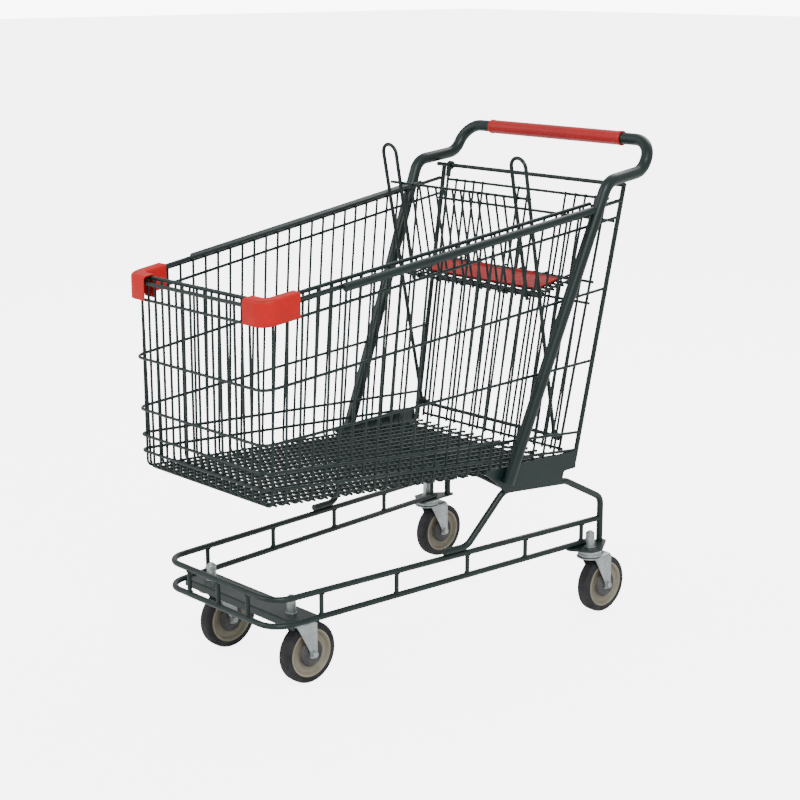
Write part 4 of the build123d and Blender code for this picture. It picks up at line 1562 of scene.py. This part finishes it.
@dataclass
class SeatFlap:
    """The red panel on the child seat: a rimmed tray with pressed ribs and two barrels."""

    palette: Palette
    slope: float = 10.5
    depth: float = 72.0
    half_width: float = 165.0
    sheet: float = 3.0
    wire_radius: float = 2.08
    barrel_radius: float = 4.4
    barrel_y: float = 62.0
    barrel_half: float = 28.0
    edge: float = 2.3
    drop: float = 1.65
    corner: float = 9.0
    rim_width: float = 3.0
    rim_slope: float = 1.5
    rim_height: float = 1.0
    rib_border: float = 10.0
    rib_pitch: float = 22.0
    rib_half: float = 2.6
    rib_height: float = 0.9
    rows: int = 60
    columns: int = 300

    def __post_init__(self) -> None:
        """Reads the pivot's place from the frame's joints."""
        self.pivot = joint_place("flap_turn")

    def place(self, ahead: float, y: float, up: float) -> Vector:
        """Finds a point of the panel.

        Args:
            ahead: Distance in front of the pivot wire.
            y: Place across the trolley.
            up: Height over the panel's underside.

        Returns:
            The point.
        """
        turn = math.radians(self.slope)
        rise = up - self.drop
        x = self.pivot[0] + ahead * math.cos(turn) + rise * math.sin(turn)
        z = self.pivot[2] - ahead * math.sin(turn) + rise * math.cos(turn)
        return Vector((x, y, z))

    def surface(self, ahead: float, y: float) -> float:
        """Finds how high the upper face stands: a raised rim, and ribs across the middle.

        Args:
            ahead: Distance in front of the pivot wire.
            y: Place across the trolley.

        Returns:
            The height over the underside.
        """
        from_edge = min(ahead - self.edge, self.edge + self.depth - ahead, self.half_width - abs(y))
        rim = min(1.0, max(0.0, 1.0 - (from_edge - self.rim_width) / self.rim_slope))
        phase = abs((y + self.rib_pitch / 2) % self.rib_pitch - self.rib_pitch / 2)
        rib = max(0.0, 1.0 - phase / self.rib_half) if from_edge > self.rib_border else 0.0
        return self.sheet - self.rim_height + rim * self.rim_height + rib * self.rib_height

    def panel(self, shape: bmesh.types.BMesh) -> None:
        """Adds the panel, with round corners.

        Args:
            shape: The bmesh that gets the faces.
        """
        rows, columns = self.rows, self.columns
        upper: list[list[bmesh.types.BMVert]] = []
        under: list[list[bmesh.types.BMVert]] = []
        for row in range(rows + 1):
            ahead = self.edge + self.depth * row / rows
            inset = max(0.0, self.corner - min(ahead - self.edge, self.edge + self.depth - ahead))
            reach = self.half_width - self.corner + math.sqrt(max(0.0, self.corner**2 - inset**2))
            ys = [-reach + 2 * reach * column / columns for column in range(columns + 1)]
            upper.append([shape.verts.new(self.place(ahead, y, self.surface(ahead, y))) for y in ys])
            under.append([shape.verts.new(self.place(ahead, y, 0.0)) for y in ys])
        for row in range(rows):
            for column in range(columns):
                corners = ((row, column), (row, column + 1), (row + 1, column + 1), (row + 1, column))
                shape.faces.new([upper[r][c] for r, c in corners])
                shape.faces.new([under[r][c] for r, c in corners[::-1]])
        border = [(0, column) for column in range(columns)]
        border += [(row, columns) for row in range(rows)]
        border += [(rows, column) for column in range(columns, 0, -1)]
        border += [(row, 0) for row in range(rows, 0, -1)]
        for (row, column), (next_row, next_column) in zip(border, border[1:] + border[:1]):
            shape.faces.new(
                (
                    upper[row][column],
                    upper[next_row][next_column],
                    under[next_row][next_column],
                    under[row][column],
                )
            )

    def build(self) -> bpy.types.Object:
        """Builds the flap.

        Returns:
            The piece.
        """
        shape = bmesh.new()
        self.panel(shape)
        half, bore, outer = self.barrel_half, self.wire_radius, self.barrel_radius
        barrel = rounded([(-half, bore), (-half, outer), (half, outer), (half, bore)], 0.6, 2)
        for middle in (-self.barrel_y, self.barrel_y):
            lathe(shape, barrel, (self.pivot[0], middle, self.pivot[2]), steps=40)
        return finish_piece(
            "seat_flap_moulded",
            to_mesh(shape),
            self.palette["flap red"],
            "flap",
            ["seat_flap"],
            crease=28.0,
        )


# ---------------------------------------------------------------- welded frame


@dataclass
class WeldedFrame:
    """The green frame: its finish, its welds and its tube caps."""

    palette: Palette
    welder: Welder
    basket: Basket = Basket()
    gate: Gate = Gate()
    rail_front_x: float = 454.0
    rail_half_width: float = 173.5
    rail_splay: float = 0.0744
    upper_rail_z: float = 203.5
    lower_rail_z: tuple[float, float] = (150.0, 158.0)
    lower_rail_end_x: float = -357.0
    rail_radius: float = 6.0
    post_radius: float = 4.5
    post_xs: tuple[float, ...] = (344.0, 161.0, -22.0, -181.0, -343.0)
    post_ys: tuple[float, ...] = (-94.0, 0.0, 94.0)
    weld_depth: float = 0.6
    weld_proud: float = 0.3
    side_tube_x: float = 322.0
    side_tube_radius: float = 8.5
    side_tube_gap: float = 5.0

    def build(self) -> None:
        """Dresses the frame's nodes and adds the welds and caps."""
        self.dress_nodes()
        self.spots()
        self.rail_rings()
        self.tube_caps()

    def dress_nodes(self) -> None:
        """Gives every frame node that stays the material of its slot."""
        finishes = {
            "green_coat": "green powder coat",
            "bumper_red": "bumper red",
            "sleeve_red": "sleeve red",
            "flap_red": "flap red",
            "tyre": "tyre rubber",
            "wheel_centre": "wheel centre nylon",
            "thread_guard": "dark moulded plastic",
            "zinc_plate": "zinc plate",
            "bright_steel": "bright steel",
        }
        for entry in frame["record"]["subparts"]:
            node = frame["nodes"][entry["node"]]
            material = self.palette[finishes[entry["material_slot"]]]
            for slot in node.material_slots:
                slot.material = material

    def spots(self) -> None:
        """Lays the resistance-weld spots where wires cross."""
        groups = (
            ("wall_weld_spots", self.basket.wall_crossings(), "frame", 0.0024, 3),
            ("floor_weld_spots", self.basket.floor_crossings(), "frame", 0.0022, 5),
            ("gate_weld_spots", self.gate.crossings(), "gate", 0.0024, 7),
        )
        for name, points, body, radius, seed in groups:
            self.welder.lay(name, Bead.SPOT, points, body, radius=radius, seed=seed)

    def rail_y(self, x: float) -> float:
        """Half-width of the chassis rails."""
        return self.rail_half_width + self.rail_splay * (self.rail_front_x - x)

    def low_rail(self, x: float) -> float:
        """Height of the lower rail."""
        share = (self.rail_front_x - x) / (self.rail_front_x - self.lower_rail_end_x)
        return self.lower_rail_z[0] + share * (self.lower_rail_z[1] - self.lower_rail_z[0])

    def rail_rings(self) -> None:
        """Lays a rippled ring at both ends of every rail post."""
        feet = [(x, side * self.rail_y(x)) for x in self.post_xs for side in (-1, 1)]
        feet += [(self.rail_front_x, y) for y in self.post_ys]
        rise = self.rail_radius - self.weld_depth
        points: list[Point] = []
        for x, y in feet:
            points += [(x, y, self.low_rail(x) + rise), (x, y, self.upper_rail_z - rise)]
        self.welder.lay(
            "rail_post_welds",
            Bead.RING,
            points,
            "frame",
            directions=[(0, 0, 1)] * len(points),
            radii=[self.post_radius + self.weld_proud] * len(points),
            thickness=0.0018,
            ripple=0.0014,
        )

    def tube_caps(self) -> bpy.types.Object:
        """Builds the domed plugs in the open ends of the side tubes.

        Returns:
            The piece.
        """
        x, radius = self.side_tube_x, self.side_tube_radius
        height = self.basket.rim(x) - self.basket.rim_stagger
        reach = self.basket.wall(x, self.basket.rim(x)) + self.side_tube_gap + radius
        lip, bulge = radius - 0.3, 2.6
        dome = [(-4.0, 0.0), (-4.0, radius - 0.2), (0.2, radius + 0.25), (1.6, lip)]
        for angle in (0.5, 0.9, 1.25, math.pi / 2):
            dome.append((1.6 + bulge * math.sin(angle), lip * math.cos(angle)))
        shape = bmesh.new()
        for side in (-1, 1):
            direction = (1.0, -side * self.basket.splay, -self.basket.rim_rise)
            lathe(shape, dome, (x, side * reach, height), direction, 40)
        material = self.palette["green powder coat"]
        return finish_piece("side_tube_caps", to_mesh(shape), material, "frame")


# ---------------------------------------------------------------- studio


@dataclass
class Studio:
    """The pale floor, the soft lights and the camera."""

    azimuth: float = 137.39
    elevation: float = 13.84
    eye_m: Point = (2.387, 2.625, 1.363)
    lens: float = 79.2
    floor_half_m: float = 40.0
    floor_glow: float = 5.0
    sky_light: float = 0.85
    sky_glow: float = 8.0
    aim_m: Point = (0.0, 0.0, 0.5)

    def build(self) -> None:
        """Builds the whole studio."""
        self.floor()
        self.lights()
        self.camera()

    def floor(self) -> None:
        """Lays a large, flat, pale floor that runs far out on every side."""
        shape = bmesh.new()
        bmesh.ops.create_grid(shape, x_segments=1, y_segments=1, size=self.floor_half_m)
        mesh = bpy.data.meshes.new("floor")
        shape.to_mesh(mesh)
        shape.free()
        floor = bpy.data.objects.new("floor", mesh)
        bpy.context.scene.collection.objects.link(floor)
        material = bpy.data.materials.new("pale floor")
        material.use_nodes = True
        shader = material.node_tree.nodes["Principled BSDF"]
        shader.inputs["Base Color"].default_value = (0.90, 0.90, 0.90, 1.0)
        shader.inputs["Roughness"].default_value = 0.75
        shader.inputs["Specular IOR Level"].default_value = 0.1
        shader.inputs["Emission Color"].default_value = (1.0, 1.0, 1.0, 1.0)
        tree = Tree(material.node_tree)
        seen = tree.add("ShaderNodeLightPath").outputs["Is Camera Ray"]
        tree.link(tree.maths("MULTIPLY", seen, self.floor_glow), shader.inputs["Emission Strength"])
        mesh.materials.append(material)

    def lights(self) -> None:
        """Hangs a large key light, a fill, a back light and a bright sky."""
        world = bpy.data.worlds.new("studio")
        bpy.context.scene.world = world
        world.use_nodes = True
        sky = world.node_tree.nodes["Background"]
        sky.inputs["Color"].default_value = (1.0, 1.0, 1.0, 1.0)
        tree = Tree(world.node_tree)
        seen = tree.add("ShaderNodeLightPath").outputs["Is Camera Ray"]
        glow = tree.maths("MULTIPLY", seen, self.sky_glow)
        tree.link(tree.maths("ADD", glow, self.sky_light), sky.inputs["Strength"])
        settings = (
            ("key", (2.2, 3.4, 3.6), 2.4, 150.0),
            ("fill", (3.4, -1.6, 2.6), 2.6, 60.0),
            ("back", (-2.8, -0.6, 3.2), 2.2, 70.0),
        )
        for name, place, size, power in settings:
            lamp = bpy.data.lights.new(name, "AREA")
            lamp.size = size
            lamp.energy = power
            holder = bpy.data.objects.new(name, lamp)
            holder.location = place
            aim = Vector(self.aim_m) - Vector(place)
            holder.rotation_euler = aim.to_track_quat("-Z", "Y").to_euler()
            bpy.context.scene.collection.objects.link(holder)

    def camera(self) -> None:
        """Sets the camera, which stands level and looks down at the trolley's front corner."""
        azimuth = math.radians(self.azimuth)
        tilt = math.radians(self.elevation)
        level = Vector((math.sin(azimuth), -math.cos(azimuth), 0))
        back = level * math.cos(tilt) + Vector((0, 0, math.sin(tilt)))
        right = Vector((math.cos(azimuth), math.sin(azimuth), 0))
        up = back.cross(right)
        turn = Matrix((right, up, back)).transposed()
        lens = bpy.data.cameras.new("camera")
        lens.lens = self.lens
        lens.sensor_width = 36.0
        lens.clip_end = 100.0
        camera = bpy.data.objects.new("camera", lens)
        camera.matrix_world = Matrix.Translation(self.eye_m) @ turn.to_4x4()
        bpy.context.scene.collection.objects.link(camera)
        bpy.context.scene.camera = camera


def write_sizes() -> None:
    """Updates the view layer."""
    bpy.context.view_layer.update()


def main() -> None:
    """Builds the trolley's looks and the studio."""
    logging.basicConfig(level=logging.INFO, format="%(name)s %(message)s")
    palette = Palette(Effects())
    welder = Welder(palette)
    basket = Basket()
    WeldedFrame(palette, welder).build()
    HandleSleeve(palette).build()
    for side in (-1, 1):
        Bumper(palette, side, basket).build()
    SeatFlap(palette).build()
    corners = ("front_left", "front_right", "rear_left", "rear_right")
    for corner in corners:
        Castor(palette, corner).build()
    CastorMounts(palette, corners).build()
    Studio().build()
    write_sizes()


if __name__ == "__main__":
    main()
